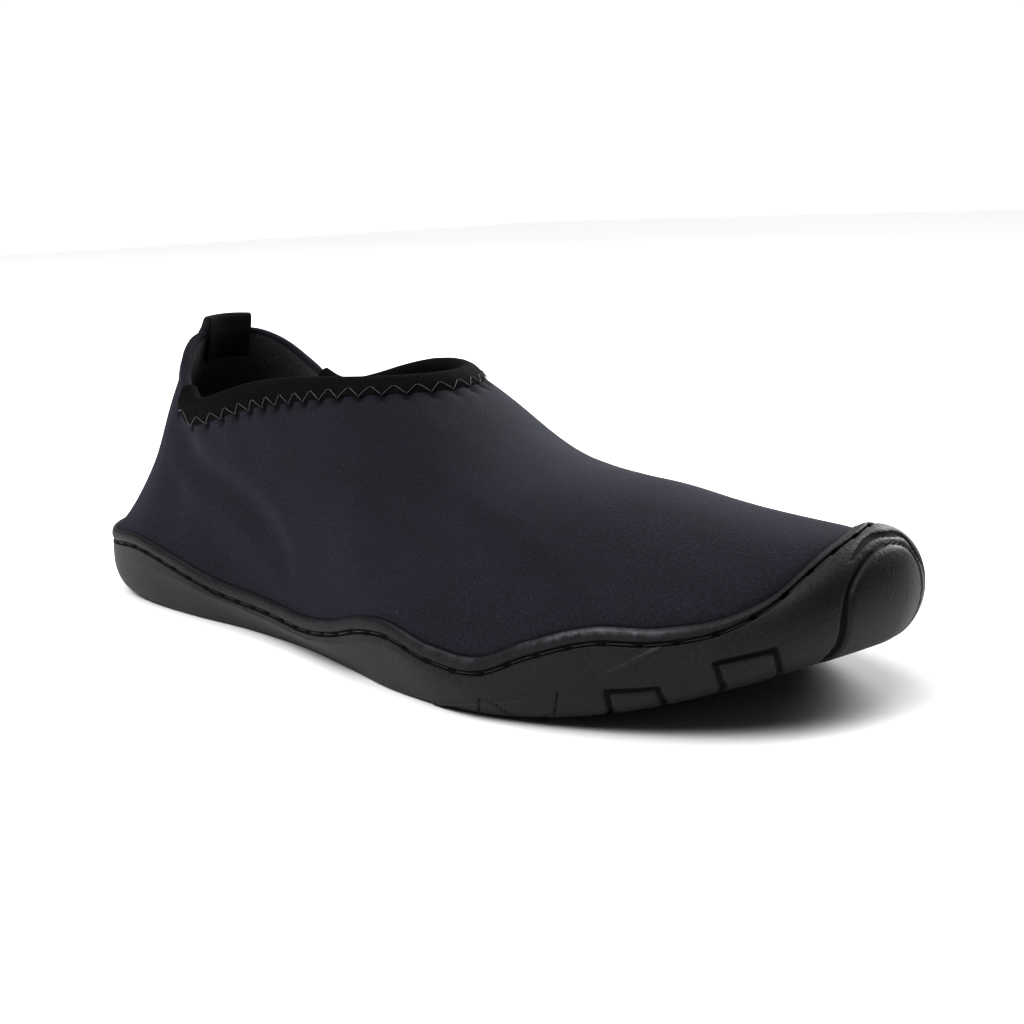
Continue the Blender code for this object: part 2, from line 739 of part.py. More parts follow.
def main():
    for obj in list(bpy.data.objects):
        bpy.data.objects.remove(obj, do_unlink=True)
    parts = bpy.data.collections.new("water shoe")
    bpy.context.scene.collection.children.link(parts)
    cutters = bpy.data.collections.new("cutters")
    bpy.context.scene.collection.children.link(cutters)
    cut_tread(make_outsole(parts), cutters)
    make_upper(parts)
    make_collar_band(parts)
    make_heel_tab(parts)
    make_insole(parts)


main()
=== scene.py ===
# %% [markdown]
# # A water shoe, looked at closely
#
# A water shoe is two things: a sock of thin foam faced with knit, and a rubber cup that the sock is
# lasted into. Everything here is grown from the shoe's own sizes, so each piece follows the last.
# The hard frame is already modelled. This script puts the fine surface over it, piece by piece.

# %% Load the frame
import json
import math

import bpy
import numpy as np
from mathutils import Matrix, Vector
from mathutils.bvhtree import BVHTree

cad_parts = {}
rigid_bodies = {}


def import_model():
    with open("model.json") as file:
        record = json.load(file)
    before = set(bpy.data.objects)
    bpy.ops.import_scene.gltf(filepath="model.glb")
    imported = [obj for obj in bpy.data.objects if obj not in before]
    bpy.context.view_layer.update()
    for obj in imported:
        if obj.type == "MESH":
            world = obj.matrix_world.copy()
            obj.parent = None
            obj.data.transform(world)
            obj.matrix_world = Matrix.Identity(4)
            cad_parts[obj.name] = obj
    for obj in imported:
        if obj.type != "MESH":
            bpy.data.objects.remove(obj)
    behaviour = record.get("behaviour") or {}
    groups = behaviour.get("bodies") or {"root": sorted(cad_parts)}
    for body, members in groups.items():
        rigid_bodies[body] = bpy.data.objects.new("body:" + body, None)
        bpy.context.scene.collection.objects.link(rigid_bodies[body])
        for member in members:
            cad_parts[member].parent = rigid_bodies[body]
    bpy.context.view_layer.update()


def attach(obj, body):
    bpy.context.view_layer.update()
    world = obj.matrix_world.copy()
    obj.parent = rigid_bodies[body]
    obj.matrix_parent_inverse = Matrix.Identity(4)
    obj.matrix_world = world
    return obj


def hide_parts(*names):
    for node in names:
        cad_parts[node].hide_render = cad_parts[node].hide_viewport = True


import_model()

# %% [markdown]
# ## The driving sizes
#
# These are the sizes that a last maker would write down: length, width at the ball, height at the heel,
# the instep and the toe, and the wall of each material. All in metres, with the toe along +X, the outer
# side of the foot along -Y, and the floor at Z = 0.

# %% Sizes
SOLE_LENGTH = 0.280
BALL_WIDTH = 0.1022
TOE_SPRING = 0.0182
SPRING_START = 0.725
ARCH_RISE = 0.0020
SOLE_THICKNESS = 0.0052
SIDE_TUCK = 0.0140
SIDE_HEIGHT = 0.0200
RIM_HEIGHT = 0.0036
RIM_WIDTH = 0.0024
TOE_LEAN = 0.0130
WALL_THICKNESS = 0.0032
GROOVE_WIDTH = 0.0014
GROOVE_DEPTH = 0.0011
UPPER_WALL = 0.0022
HEEL_HEIGHT = 0.0755
ANKLE_HEIGHT = 0.058
INSTEP_HEIGHT = 0.0675
CROWN_FALL = 0.0090
TOE_HEIGHT = 0.0390
COLLAR_WIDTH = 0.0600
COLLAR_SETBACK = 0.0410
COLLAR_LENGTH = 0.1090
BAND_HEIGHT = 0.0062
THROAT_BAND_HEIGHT = 0.0048
BAND_THICKNESS = 0.0011
BAND_START = 0.17
GAP = 0.0003
MM = 0.001
TURN = 2 * math.pi
print("length over width:", round(SOLE_LENGTH / BALL_WIDTH, 2))

# %% [markdown]
# ## The tables of the last
#
# A last has no simple formula, so its shape is a few short tables, each a share of a named size at
# stations from heel to toe. Smooth curves run through the rows. A shoe of another size keeps the rows.

# %% Tables
OUTLINE = (
    # station, lateral, medial, lateral_tuck, medial_tuck, round, belly
    (0.000, -0.076, 0.076, 0.60, 0.60, 1.0, 0.52),
    (0.010, 0.046, 0.198, 0.60, 0.60, 1.0, 0.52),
    (0.040, 0.154, 0.308, 0.56, 0.62, 1.0, 0.52),
    (0.090, 0.250, 0.392, 0.46, 0.64, 1.0, 0.54),
    (0.160, 0.307, 0.444, 0.42, 0.66, 0.8, 0.60),
    (0.250, 0.333, 0.440, 0.38, 0.76, 0.3, 0.66),
    (0.350, 0.343, 0.408, 0.40, 0.96, 0.0, 0.62),
    (0.450, 0.382, 0.394, 0.46, 1.00, 0.0, 0.54),
    (0.550, 0.444, 0.414, 0.44, 0.82, 0.0, 0.58),
    (0.620, 0.480, 0.448, 0.36, 0.52, 0.2, 0.68),
    (0.700, 0.500, 0.485, 0.42, 0.44, 0.7, 0.64),
    (0.780, 0.477, 0.500, 0.52, 0.52, 1.0, 0.58),
    (0.860, 0.418, 0.461, 0.58, 0.58, 1.0, 0.52),
    (0.920, 0.334, 0.394, 0.60, 0.60, 1.0, 0.48),
    (0.965, 0.227, 0.300, 0.56, 0.56, 1.0, 0.42),
    (0.990, 0.112, 0.190, 0.50, 0.50, 1.0, 0.38),
    (1.000, -0.052, 0.052, 0.46, 0.46, 1.0, 0.36),
)
WAVE = (
    # station, lateral, medial, lateral_lean, medial_lean
    (0.00, 0.92, 0.92, 0.06, 0.06),
    (0.10, 0.98, 0.98, 0.04, 0.04),
    (0.18, 1.04, 1.02, 0.02, 0.02),
    (0.25, 0.88, 0.91, 0.01, 0.01),
    (0.32, 0.69, 0.78, 0.00, 0.00),
    (0.42, 0.62, 0.70, 0.00, 0.00),
    (0.49, 0.585, 0.68, 0.00, 0.00),
    (0.55, 0.69, 0.75, 0.00, 0.00),
    (0.60, 0.86, 0.88, 0.00, 0.00),
    (0.64, 0.91, 0.91, 0.01, 0.01),
    (0.70, 0.76, 0.76, 0.02, 0.02),
    (0.75, 0.71, 0.73, 0.03, 0.03),
    (0.80, 0.91, 0.92, 0.05, 0.05),
    (0.85, 1.00, 1.02, 0.08, 0.10),
    (0.90, 0.85, 0.92, 0.12, 0.22),
    (0.94, 0.775, 0.95, 0.22, 0.50),
    (0.965, 0.83, 1.16, 0.40, 0.85),
    (0.985, 1.01, 1.33, 0.68, 1.00),
    (1.00, 1.28, 1.28, 0.95, 0.95),
)
FULLNESS = (
    # station, lateral, medial
    (0.00, 0.88, 0.88),
    (0.15, 0.90, 0.90),
    (0.30, 1.02, 1.00),
    (0.45, 1.07, 1.05),
    (0.55, 1.18, 1.15),
    (0.65, 1.40, 1.36),
    (0.85, 1.95, 1.85),
    (1.00, 2.60, 2.60),
)
ARRIVAL = (
    # sole_station, collar_station
    (0.00, 0.000),
    (0.05, 0.012),
    (0.15, 0.075),
    (0.25, 0.200),
    (0.35, 0.380),
    (0.45, 0.570),
    (0.55, 0.730),
    (0.65, 0.840),
    (0.80, 0.940),
    (1.00, 1.000),
)
COLLAR = (
    # station, half, to_heel, to_instep
    (0.000, 0.00, 1.00, 0.00),
    (0.030, 0.37, 0.94, 0.00),
    (0.075, 0.56, 0.76, 0.00),
    (0.150, 0.75, 0.32, 0.00),
    (0.225, 0.87, 0.04, 0.00),
    (0.310, 0.95, 0.00, 0.08),
    (0.400, 0.99, 0.00, 0.28),
    (0.490, 1.00, 0.00, 0.52),
    (0.630, 0.97, 0.00, 0.82),
    (0.770, 0.85, 0.00, 0.97),
    (0.900, 0.61, 0.00, 1.00),
    (0.970, 0.35, 0.00, 1.00),
    (1.000, 0.00, 0.00, 1.00),
)
RIDGE = (
    # station ahead of the throat, height
    (0.00, 1.000),
    (0.04, 0.872),
    (0.09, 0.712),
    (0.15, 0.552),
    (0.23, 0.410),
    (0.31, 0.326),
    (0.39, 0.285),
    (0.50, 0.255),
    (0.59, 0.205),
    (0.69, 0.145),
    (0.81, 0.085),
    (0.91, 0.035),
    (1.00, 0.000),
)

# %% [markdown]
# ## Smooth curves through the rows
#
# A cubic curve with a slope taken from both neighbours passes through every row without overshooting
# much. Round the shoe the curve is closed: the angle runs from 0 at the heel, up the outer side to pi at
# the toe, and back down the inner side.

# %% Curves
def smooth(keys, values, at):
    keys = np.asarray(keys, float)
    values = np.asarray(values, float)
    at = np.clip(at, keys[0], keys[-1])
    gaps = np.diff(keys)
    rates = np.diff(values) / gaps
    inner = (rates[:-1] * gaps[1:] + rates[1:] * gaps[:-1]) / (gaps[:-1] + gaps[1:])
    slopes = np.concatenate((rates[:1], inner, rates[-1:]))
    i = np.clip(np.searchsorted(keys, at, side="right") - 1, 0, len(keys) - 2)
    t = (at - keys[i]) / gaps[i]
    from_low = values[i] * (1 + 2 * t) * (1 - t) ** 2 + slopes[i] * gaps[i] * t * (1 - t) ** 2
    from_high = values[i + 1] * t * t * (3 - 2 * t) - slopes[i + 1] * gaps[i] * t * t * (1 - t)
    return from_low + from_high


def step(at, start, end):
    """0 before start, 1 after end, with a soft rise between."""
    t = np.clip((at - start) / (end - start), 0, 1)
    return t * t * (3 - 2 * t)


def walked(points):
    """How far along a line each of its points is."""
    return np.concatenate(([0], np.cumsum(np.linalg.norm(np.diff(points, axis=0), axis=1))))


def sample(line, keys, at):
    """Points of a line at other places along it."""
    return np.stack([np.interp(at, keys, line[:, k]) for k in range(3)], -1)


def unit(vectors):
    return vectors / np.linalg.norm(vectors, axis=-1, keepdims=True)


def angle_of(station):
    return np.arccos(1 - 2 * np.clip(station, 0, 1))


def station_of(theta):
    return (1 - np.cos(theta)) / 2


def closed(table, lateral, medial, lateral_sign=1):
    """A closed curve through two columns: up the lateral side and back down the medial."""
    up = [(angle_of(row[0]), lateral_sign * row[lateral]) for row in table]
    down = [(TURN - angle_of(row[0]), row[medial]) for row in reversed(table[1:-1])]
    keys, values = np.array(up + down).T
    keys = np.concatenate((keys - TURN, keys, keys + TURN))
    values = np.tile(values, 3)
    return lambda theta: smooth(keys, values, np.mod(theta, TURN))


edge_at = closed(OUTLINE, 1, 2, -1)
tuck_at = closed(OUTLINE, 3, 4)
round_at = closed(OUTLINE, 5, 5)
belly_at = closed(OUTLINE, 6, 6)
rim_at = closed(WAVE, 1, 2)
lean_at = closed(WAVE, 3, 4)
full_at = closed(FULLNESS, 1, 2)
collar_half_at = closed(COLLAR, 1, 1, -1)
ball = BALL_WIDTH * float(edge_at(-angle_of(0.78)) - edge_at(angle_of(0.7)))
print("ball width, mm:", round(ball / MM, 1))

# %% [markdown]
# ## The last's plan and floor
#
# `outline` is the widest line of the sole, `inset` moves it inwards, and `floor_height` lifts the walking
# face at the toe (toe spring) and a little at the arch. `place` puts a point at an inset and a height.

# %% Plan and floor
def outline(theta):
    return np.stack((SOLE_LENGTH * (station_of(theta) - 0.5), BALL_WIDTH * edge_at(theta)), -1)


def inset(theta, distance):
    along = outline(theta + 0.01) - outline(theta - 0.01)
    inward = unit(np.stack((-along[..., 1], along[..., 0]), -1))
    return outline(theta) + inward * np.asarray(distance)[..., None]


def floor_height(x, y):
    share = x / SOLE_LENGTH + 0.5
    spring = TOE_SPRING * (np.clip(share - SPRING_START, 0, 1) / (1 - SPRING_START)) ** 2
    medial = step(y, -BALL_WIDTH * 0.25, BALL_WIDTH * 0.25)
    along = np.sin(np.pi * np.clip((share - 0.28) / 0.34, 0, 1)) ** 2
    return spring + ARCH_RISE * along * medial


def place(theta, distance, height):
    flat = inset(theta, distance)
    return np.concatenate((flat, (floor_height(flat[..., 0], flat[..., 1]) + height)[..., None]), -1)


def even_thetas(count):
    """Angles that divide the outline into equal lengths."""
    fine = np.linspace(0, TURN, 8001)
    length = walked(outline(fine))
    half = count // 2
    toe = np.interp(np.pi, fine, length)
    up = np.interp(np.linspace(0, toe, half, endpoint=False), length, fine)
    return np.concatenate((up, TURN - np.concatenate(([np.pi], up[:0:-1]))))


print("toe above the floor, mm:", round(float(floor_height(SOLE_LENGTH / 2, 0.0)) / MM, 1))


# %% [markdown]
# ## The side wall of the cup
#
# Below its widest line the wall tucks in under the foot, as a straight flare at the waist and as a round
# edge at heel and toe. Above it, the wall curls in over the toe. Both halves are quarter curves, so they
# meet without a kink.

# %% Side wall
def rim_height(theta):
    return SIDE_HEIGHT * rim_at(theta)


def belly_height(theta):
    return rim_height(theta) * belly_at(theta)


def under_wall(theta, share):
    rounded = 1 - np.sqrt(np.clip(1 - (1 - share) ** 2, 0, 1))
    straight = 1 - share
    distance = SIDE_TUCK * tuck_at(theta) * (straight + (rounded - straight) * round_at(theta))
    return distance, belly_height(theta) * share


def wall_curve(theta, share, depth=0.0):
    lean = TOE_LEAN * lean_at(theta)
    height = rim_height(theta) - belly_height(theta)
    a = np.pi / 2 * share
    inward = np.stack((height * np.cos(a) + 1e-9, -lean * np.sin(a)))
    inward = inward / np.linalg.norm(inward, axis=0)
    return (
        lean * (1 - np.cos(a)) + inward[0] * depth,
        belly_height(theta) + height * np.sin(a) + inward[1] * depth,
    )


def wall_share(theta, from_top):
    """The share of the upper wall curve at a distance along it from the top of the rim."""
    lean = TOE_LEAN * lean_at(theta)
    height = rim_height(theta) - belly_height(theta)
    shares = np.linspace(1, 0, 81)
    a = np.pi / 2 * (shares[:-1] + shares[1:]) / 2
    steps = np.hypot(lean[:, None] * np.sin(a), height[:, None] * np.cos(a)) * np.pi / 2 / 80
    run = np.concatenate((np.zeros((len(theta), 1)), np.cumsum(steps, axis=1)), axis=1)
    return np.array([np.interp(d, r, shares) for d, r in zip(from_top, run)]), run[:, -1]


# %% [markdown]
# ## From rings to a mesh
#
# A shoe is easiest to build as rings of points, one above another. `skin` joins a stack of rings into
# quads. `make_mesh` turns arrays into an object, and can store a number on each point, such as how far it
# is from a groove, for the materials to read.

# %% Mesh tools
def skin(rows, columns, wrap=True):
    """Quads between rows of a grid, seen from outside with the first row below."""
    r = np.arange(rows - 1)[:, None]
    c = np.arange(columns if wrap else columns - 1)[None, :]
    n = (c + 1) % columns
    corners = (r * columns + c, r * columns + n, (r + 1) * columns + n, (r + 1) * columns + c)
    return np.stack(corners, -1).reshape(-1, 4)


def tape_faces(rows, columns):
    """Quads of a strip folded across its width, and a face that closes each of its two ends."""
    faces = skin(rows, columns, wrap=False).tolist()
    faces.append([r * columns for r in range(rows)])
    faces.append([r * columns + columns - 1 for r in range(rows)][::-1])
    return faces


def make_mesh(name, points, faces, material, slot, node=None, fields=None, uv=None):
    mesh = bpy.data.meshes.new(name)
    mesh.from_pydata(np.asarray(points).reshape(-1, 3).tolist(), [], [list(f) for f in faces])
    for key, values in (fields or {}).items():
        layer = mesh.attributes.new(key, "FLOAT", "POINT")
        layer.data.foreach_set("value", np.asarray(values, np.float32).ravel())
    if uv is not None:
        corners = np.empty(len(mesh.loops), np.int32)
        mesh.loops.foreach_get("vertex_index", corners)
        at_corners = np.asarray(uv).reshape(-1, 2)[corners]
        mesh.uv_layers.new(name="UVMap").data.foreach_set("uv", at_corners.ravel())
    mesh.shade_smooth()
    mesh.materials.append(material)
    obj = bpy.data.objects.new(name, mesh)
    bpy.context.scene.collection.objects.link(obj)
    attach(obj, "root")
    if node:
        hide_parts(node)
    print(f"{name}: {sum(len(f) - 2 for f in faces)} triangles")
    return obj


def grid_normals(grid, wrap=True):
    """Outward normals of a grid of rings."""
    if wrap:
        along = np.roll(grid, -1, axis=1) - np.roll(grid, 1, axis=1)
    else:
        along = np.gradient(grid, axis=1)
    up = np.gradient(grid, axis=0)
    normal = np.cross(along, up)
    return normal / (np.linalg.norm(normal, axis=-1, keepdims=True) + 1e-12)


def rounded_line(points, per_piece=6):
    """A smooth line through points in any number of dimensions."""
    points = np.asarray(points, float)
    keys = walked(points)
    at = np.linspace(0, keys[-1], (len(points) - 1) * per_piece + 1)
    return np.stack([smooth(keys, points[:, k], at) for k in range(points.shape[1])], -1)


# %% [markdown]
# ## Materials: how each one catches light
#
# The colours are nearly black, so the eye reads the shoe by its gloss and grain. Each material is made of
# shader nodes: noise for grain, bump for what is too fine to model, and roughness for wear.

# %% Material helpers
def new_material(name, colour, roughness, **inputs):
    material = bpy.data.materials.new(name)
    material.use_nodes = True
    shader = material.node_tree.nodes["Principled BSDF"]
    shader.inputs["Base Color"].default_value = (*colour, 1)
    shader.inputs["Roughness"].default_value = roughness
    for key, value in inputs.items():
        shader.inputs[key.replace("_", " ")].default_value = value
    return material, material.node_tree, shader


def node(tree, kind, **settings):
    made = tree.nodes.new(kind)
    for key, value in settings.items():
        if key.startswith("in_"):
            made.inputs[key[3:].replace("_", " ")].default_value = value
        else:
            setattr(made, key, value)
    return made


def wire(tree, *pairs):
    for source, target in pairs:
        tree.links.new(source, target)


def maths(tree, operation, a, b=None, c=None):
    made = tree.nodes.new("ShaderNodeMath")
    made.operation = operation
    for socket, value in zip(made.inputs, (a, b, c)):
        if isinstance(value, bpy.types.NodeSocket):
            tree.links.new(value, socket)
        elif value is not None:
            socket.default_value = value
    return made.outputs[0]


def noise(tree, at, scale, detail=2.0, roughness=0.5):
    made = node(tree, "ShaderNodeTexNoise", in_Scale=scale, in_Detail=detail, in_Roughness=roughness)
    tree.links.new(at, made.inputs["Vector"])
    return made


def stored(tree, name):
    """A number kept on the points of the mesh."""
    return node(tree, "ShaderNodeAttribute", attribute_name=name).outputs["Fac"]


def soft_range(tree, value, start, end, at_start, at_end):
    """A soft rise or fall of a value between two others."""
    made = node(tree, "ShaderNodeMapRange", interpolation_type="SMOOTHSTEP")
    for key, number in (("From Min", start), ("From Max", end), ("To Min", at_start), ("To Max", at_end)):
        made.inputs[key].default_value = number
    tree.links.new(value, made.inputs["Value"])
    return made.outputs[0]


def mix(tree, factor, first, second, blend="MIX"):
    """Blends two colours, each of them a socket or four numbers."""
    made = node(tree, "ShaderNodeMix", data_type="RGBA", blend_type=blend)
    for key, value in (("Factor", factor), ("A", first), ("B", second)):
        if isinstance(value, bpy.types.NodeSocket):
            tree.links.new(value, made.inputs[key])
        else:
            made.inputs[key].default_value = value
    return made.outputs["Result"]


def ramp(tree, source, stops):
    made = tree.nodes.new("ShaderNodeValToRGB")
    first, second = made.color_ramp.elements
    first.position, first.color = stops[0][0], (*stops[0][1], 1)
    second.position, second.color = stops[-1][0], (*stops[-1][1], 1)
    for position, colour in stops[1:-1]:
        made.color_ramp.elements.new(position).color = (*colour, 1)
    tree.links.new(source, made.inputs[0])
    return made.outputs[0]


def bump(tree, height, strength, distance, onto=None):
    made = tree.nodes.new("ShaderNodeBump")
    made.inputs["Strength"].default_value = strength
    made.inputs["Distance"].default_value = distance
    tree.links.new(height, made.inputs["Height"])
    if onto is not None:
        tree.links.new(onto, made.inputs["Normal"])
    return made.outputs[0]


# %% [markdown]
# ### Rubber
#
# Moulded rubber is matt with a soft sheen. The mould is blasted, so a very fine grain breaks up the
# highlights, and the walking face has a wrinkled grain like leather. Grooves are painted darker, as painted
# shade, and part of the flange's top is painted pale, as a pale haze with a painted highlight.

# %% Rubber
def rubber_material(name, grain):
    """grain: how strong the leather-like wrinkles are."""
    material, tree, shader = new_material(name, (0.020, 0.020, 0.021), 0.5, Specular_IOR_Level=0.25)
    place_at = node(tree, "ShaderNodeTexCoord").outputs["Object"]
    mottle = noise(tree, place_at, 38.0, 4.0)
    fine = noise(tree, place_at, 1500.0, 3.0)
    warp = noise(tree, place_at, 420.0, 3.0)
    smear = noise(tree, place_at, 170.0, 3.0, 0.7)
    wrinkle = node(tree, "ShaderNodeTexVoronoi", feature="SMOOTH_F1", in_Scale=900.0, in_Smoothness=0.5)
    shifted = node(tree, "ShaderNodeVectorMath", operation="MULTIPLY_ADD")
    shifted.inputs[1].default_value = (0.0018,) * 3
    wire(tree, (warp.outputs["Color"], shifted.inputs[0]), (place_at, shifted.inputs[2]))
    wire(tree, (shifted.outputs[0], wrinkle.inputs["Vector"]))
    groove = soft_range(tree, stored(tree, "groove"), -0.25, 0.12, 1.0, 0.0)
    haze_and_highlight_mask = stored(tree, "haze_and_painted_highlight")
    plain = [(0.3, (0.0160, 0.0160, 0.0165)), (0.7, (0.0216, 0.0216, 0.0228))]
    bloom = [(0.42, (0.0145, 0.0145, 0.0165)), (0.70, (0.0195, 0.0195, 0.022))]
    colour = ramp(tree, mottle.outputs["Fac"], plain)
    colour = mix(tree, stored(tree, "flange"), colour, ramp(tree, smear.outputs["Fac"], bloom))
    patches = ramp(tree, smear.outputs["Fac"], [(0.40, (0.15,) * 3), (0.62, (1.0,) * 3)])
    # painted highlight with a pale haze: part of the flange's top is painted pale, in patches
    colour = mix(tree, maths(tree, "MULTIPLY", haze_and_highlight_mask, patches), colour, (0.098, 0.099, 0.108, 1))
    specks = ramp(tree, fine.outputs["Fac"], [(0.33, (0.80, 0.80, 0.80)), (0.67, (1.20, 1.20, 1.21))])
    colour = mix(tree, 1.0, colour, specks, "MULTIPLY")
    # painted shade: grooves, drain holes and the stitch knots are painted darker
    colour = mix(tree, groove, colour, (0.20, 0.20, 0.20, 1), "MULTIPLY")
    wire(tree, (colour, shader.inputs["Base Color"]))
    rough = maths(tree, "MULTIPLY_ADD", mottle.outputs["Fac"], 0.16, 0.42)
    rough = maths(tree, "MULTIPLY_ADD", haze_and_highlight_mask, -0.12, rough)
    wire(tree, (maths(tree, "MULTIPLY_ADD", groove, 0.3, rough), shader.inputs["Roughness"]))
    normal = bump(tree, fine.outputs["Fac"], 0.45, 0.00025)
    normal = bump(tree, wrinkle.outputs["Distance"], grain, 0.0005, normal)
    sunk = maths(tree, "SUBTRACT", 1.0, groove)
    wire(tree, (bump(tree, sunk, 0.5, 0.0004, normal), shader.inputs["Normal"]))
    return material


rubber = rubber_material("rubber_wall", 0.10)
rubber_grained = rubber_material("rubber_walking_face", 0.55)
print("nodes in the rubber:", len(rubber.node_tree.nodes))

# %% [markdown]
# ### Knit over foam
#
# The upper is a stretch knit bonded to thin foam. Its face shows fine slanting rows of loops and, here and
# there, a loop that catches the light as a tiny pale speck. The rows follow the cloth, so they are laid
# out in UV metres along the shoe and up it, and not in space.

# %% Knit
def knit_material(name, colour, specks, row=0.00065, sheen=0.06, gloss=0.16):
    material, tree, shader = new_material(
        name, colour, 0.82, Sheen_Weight=sheen, Sheen_Roughness=0.5, Specular_IOR_Level=gloss
    )
    shader.inputs["Sheen Tint"].default_value = (0.75, 0.78, 1.0, 1)
    uv = node(tree, "ShaderNodeUVMap", uv_map="UVMap").outputs["UV"]
    mapped = node(tree, "ShaderNodeMapping")
    mapped.inputs["Rotation"].default_value = (0, 0, math.radians(38))
    mapped.inputs["Scale"].default_value = (1.0, 0.5, 1.0)
    wire(tree, (uv, mapped.inputs["Vector"]))
    rows = noise(tree, mapped.outputs[0], 1.1 / row)
    cells = noise(tree, uv, 1300.0, 3.0)
    tone = noise(tree, uv, 60.0, 3.0)
    dots = node(tree, "ShaderNodeTexVoronoi", feature="F1", in_Scale=640.0)
    wire(tree, (uv, dots.inputs["Vector"]))
    in_dot = maths(tree, "LESS_THAN", dots.outputs["Distance"], 0.15)
    split = node(tree, "ShaderNodeSeparateColor")
    wire(tree, (dots.outputs["Color"], split.inputs["Color"]))
    rare = maths(tree, "GREATER_THAN", split.outputs["Red"], 1 - specks)
    speck = maths(tree, "MULTIPLY", maths(tree, "MULTIPLY", in_dot, rare), 0.8)
    low = tuple(c * 0.90 for c in colour)
    high = tuple(c * 1.12 for c in colour)
    half_rows = maths(tree, "MULTIPLY", rows.outputs["Fac"], 0.5)
    weave = maths(tree, "ADD", half_rows, maths(tree, "MULTIPLY", cells.outputs["Fac"], 0.5))
    fleck = ramp(tree, weave, [(0.36, (0.60, 0.60, 0.60)), (0.64, (1.44, 1.44, 1.44))])
    face = mix(tree, 1.0, ramp(tree, tone.outputs["Fac"], [(0.3, low), (0.7, high)]), fleck, "MULTIPLY")
    face = mix(tree, speck, face, (0.050, 0.050, 0.054, 1))
    # painted shade in the dents where the zigzag pulls the cloth in
    face = mix(tree, stored(tree, "dent_and_painted_shade"), face, (0.18, 0.18, 0.18, 1), "MULTIPLY")
    wire(tree, (face, shader.inputs["Base Color"]))
    wire(tree, (bump(tree, weave, 0.6, 0.0003), shader.inputs["Normal"]))
    return material


knit = knit_material("knit_face", (0.0160, 0.0161, 0.0232), 0.10)
lining_cloth = knit_material("knit_lining", (0.105, 0.104, 0.104), 0.0)
binding_tape = knit_material("binding_tape", (0.0075, 0.0072, 0.0080), 0.02, 0.0007, 0.0, 0.06)
tab_tape = knit_material("tab_tape", (0.0110, 0.0110, 0.0128), 0.0, 0.0007)
print("nodes in the knit:", len(knit.node_tree.nodes))

# %% [markdown]
# ## The outsole: one moulded cup
#
# A real cup sole comes out of its mould in one piece. The stitched groove and the rounded flange above it
# run all the way round, so the wall's section is a handful of control points at each angle, softened by
# cutting corners (Chaikin's method), which rounds every lip just as a mould does.

# %% Section of the wall
WALL_COLUMNS = 960
LIP_WIDTH = 0.9 * MM


def soften(rows, times):
    """Cuts the corners of a stack of rings, keeping the first and the last ring."""
    for _ in range(times):
        low = rows[:-1] * 0.75 + rows[1:] * 0.25
        high = rows[:-1] * 0.25 + rows[1:] * 0.75
        inner = np.stack((low, high), axis=1).reshape(-1, *rows.shape[1:])
        rows = np.concatenate((rows[:1], inner[1:-1], rows[-1:]))
    return rows


def wall_section(theta):
    """Rings of (inset, height, 1 on the flange): up the wall, over the flange and down inside it."""
    none = np.zeros_like(theta)
    full = np.ones_like(theta)
    lower = [np.stack((*under_wall(theta, s), none)) for s in 1 - np.cos(np.linspace(0, np.pi / 2, 27)[:-1])]
    half = GROOVE_WIDTH / 2 * 0.8
    _, length = wall_share(theta, np.zeros((len(theta), 1)))
    lip = RIM_HEIGHT + half
    field = [length + (lip + 1.3 * MM - length) * s for s in np.linspace(0, 1, 22)]
    # distance from the top of the rim, depth, and 1 on the flange
    marks = [(lip + 0.8 * MM, 0, 0), (lip + 0.25 * MM, 0, 0), (lip, 0.05 * MM, 0)]
    marks += [(lip - 0.25 * half, GROOVE_DEPTH, 0), (lip - half, GROOVE_DEPTH, 0)]
    marks += [(lip - 1.75 * half, GROOVE_DEPTH, 0), (lip - 2 * half, -0.02 * MM, 1)]
    marks += [(RIM_HEIGHT * 0.66, -0.30 * MM, 1), (RIM_HEIGHT * 0.34, -0.26 * MM, 1)]
    marks += [(RIM_HEIGHT * 0.08, -0.02 * MM, 1)]
    distances = field + [np.full(len(theta), m[0]) for m in marks]
    depths = [0.0] * len(field) + [m[1] for m in marks]
    flags = [none] * len(field) + [full * m[2] for m in marks]
    shares, _ = wall_share(theta, np.stack(distances, -1))
    upper = [np.stack((*wall_curve(theta, shares[:, k], depth), flags[k])) for k, depth in enumerate(depths)]
    lean = TOE_LEAN * lean_at(theta)
    top = rim_height(theta)
    over = [
        np.stack((lean + 0.40 * MM, top + 0.10 * MM, full)),
        np.stack((lean + LIP_WIDTH, top - 0.10 * MM, full)),
        np.stack((lean + LIP_WIDTH + 0.25 * MM, top - 0.9 * MM, full)),
        np.stack((lean + RIM_WIDTH, top - RIM_WIDTH, full)),
    ]
    field_rows = np.stack(lower + upper[: len(field)])
    lip_rows = soften(np.stack(upper[len(field) - 1 :] + over), 2)
    return np.concatenate((field_rows, lip_rows[1:]))


wall_thetas = even_thetas(WALL_COLUMNS)
section = wall_section(wall_thetas)
wall = place(wall_thetas[None, :], section[:, 0], section[:, 1])
print("wall rings:", wall.shape[0], "columns:", wall.shape[1])

# %% [markdown]
# ## The walking face
#
# The underside is a ladder of rungs from the lateral to the medial side, following the floor curve of the
# last. Its edge is the first ring of the wall, so the two meshes meet point for point.

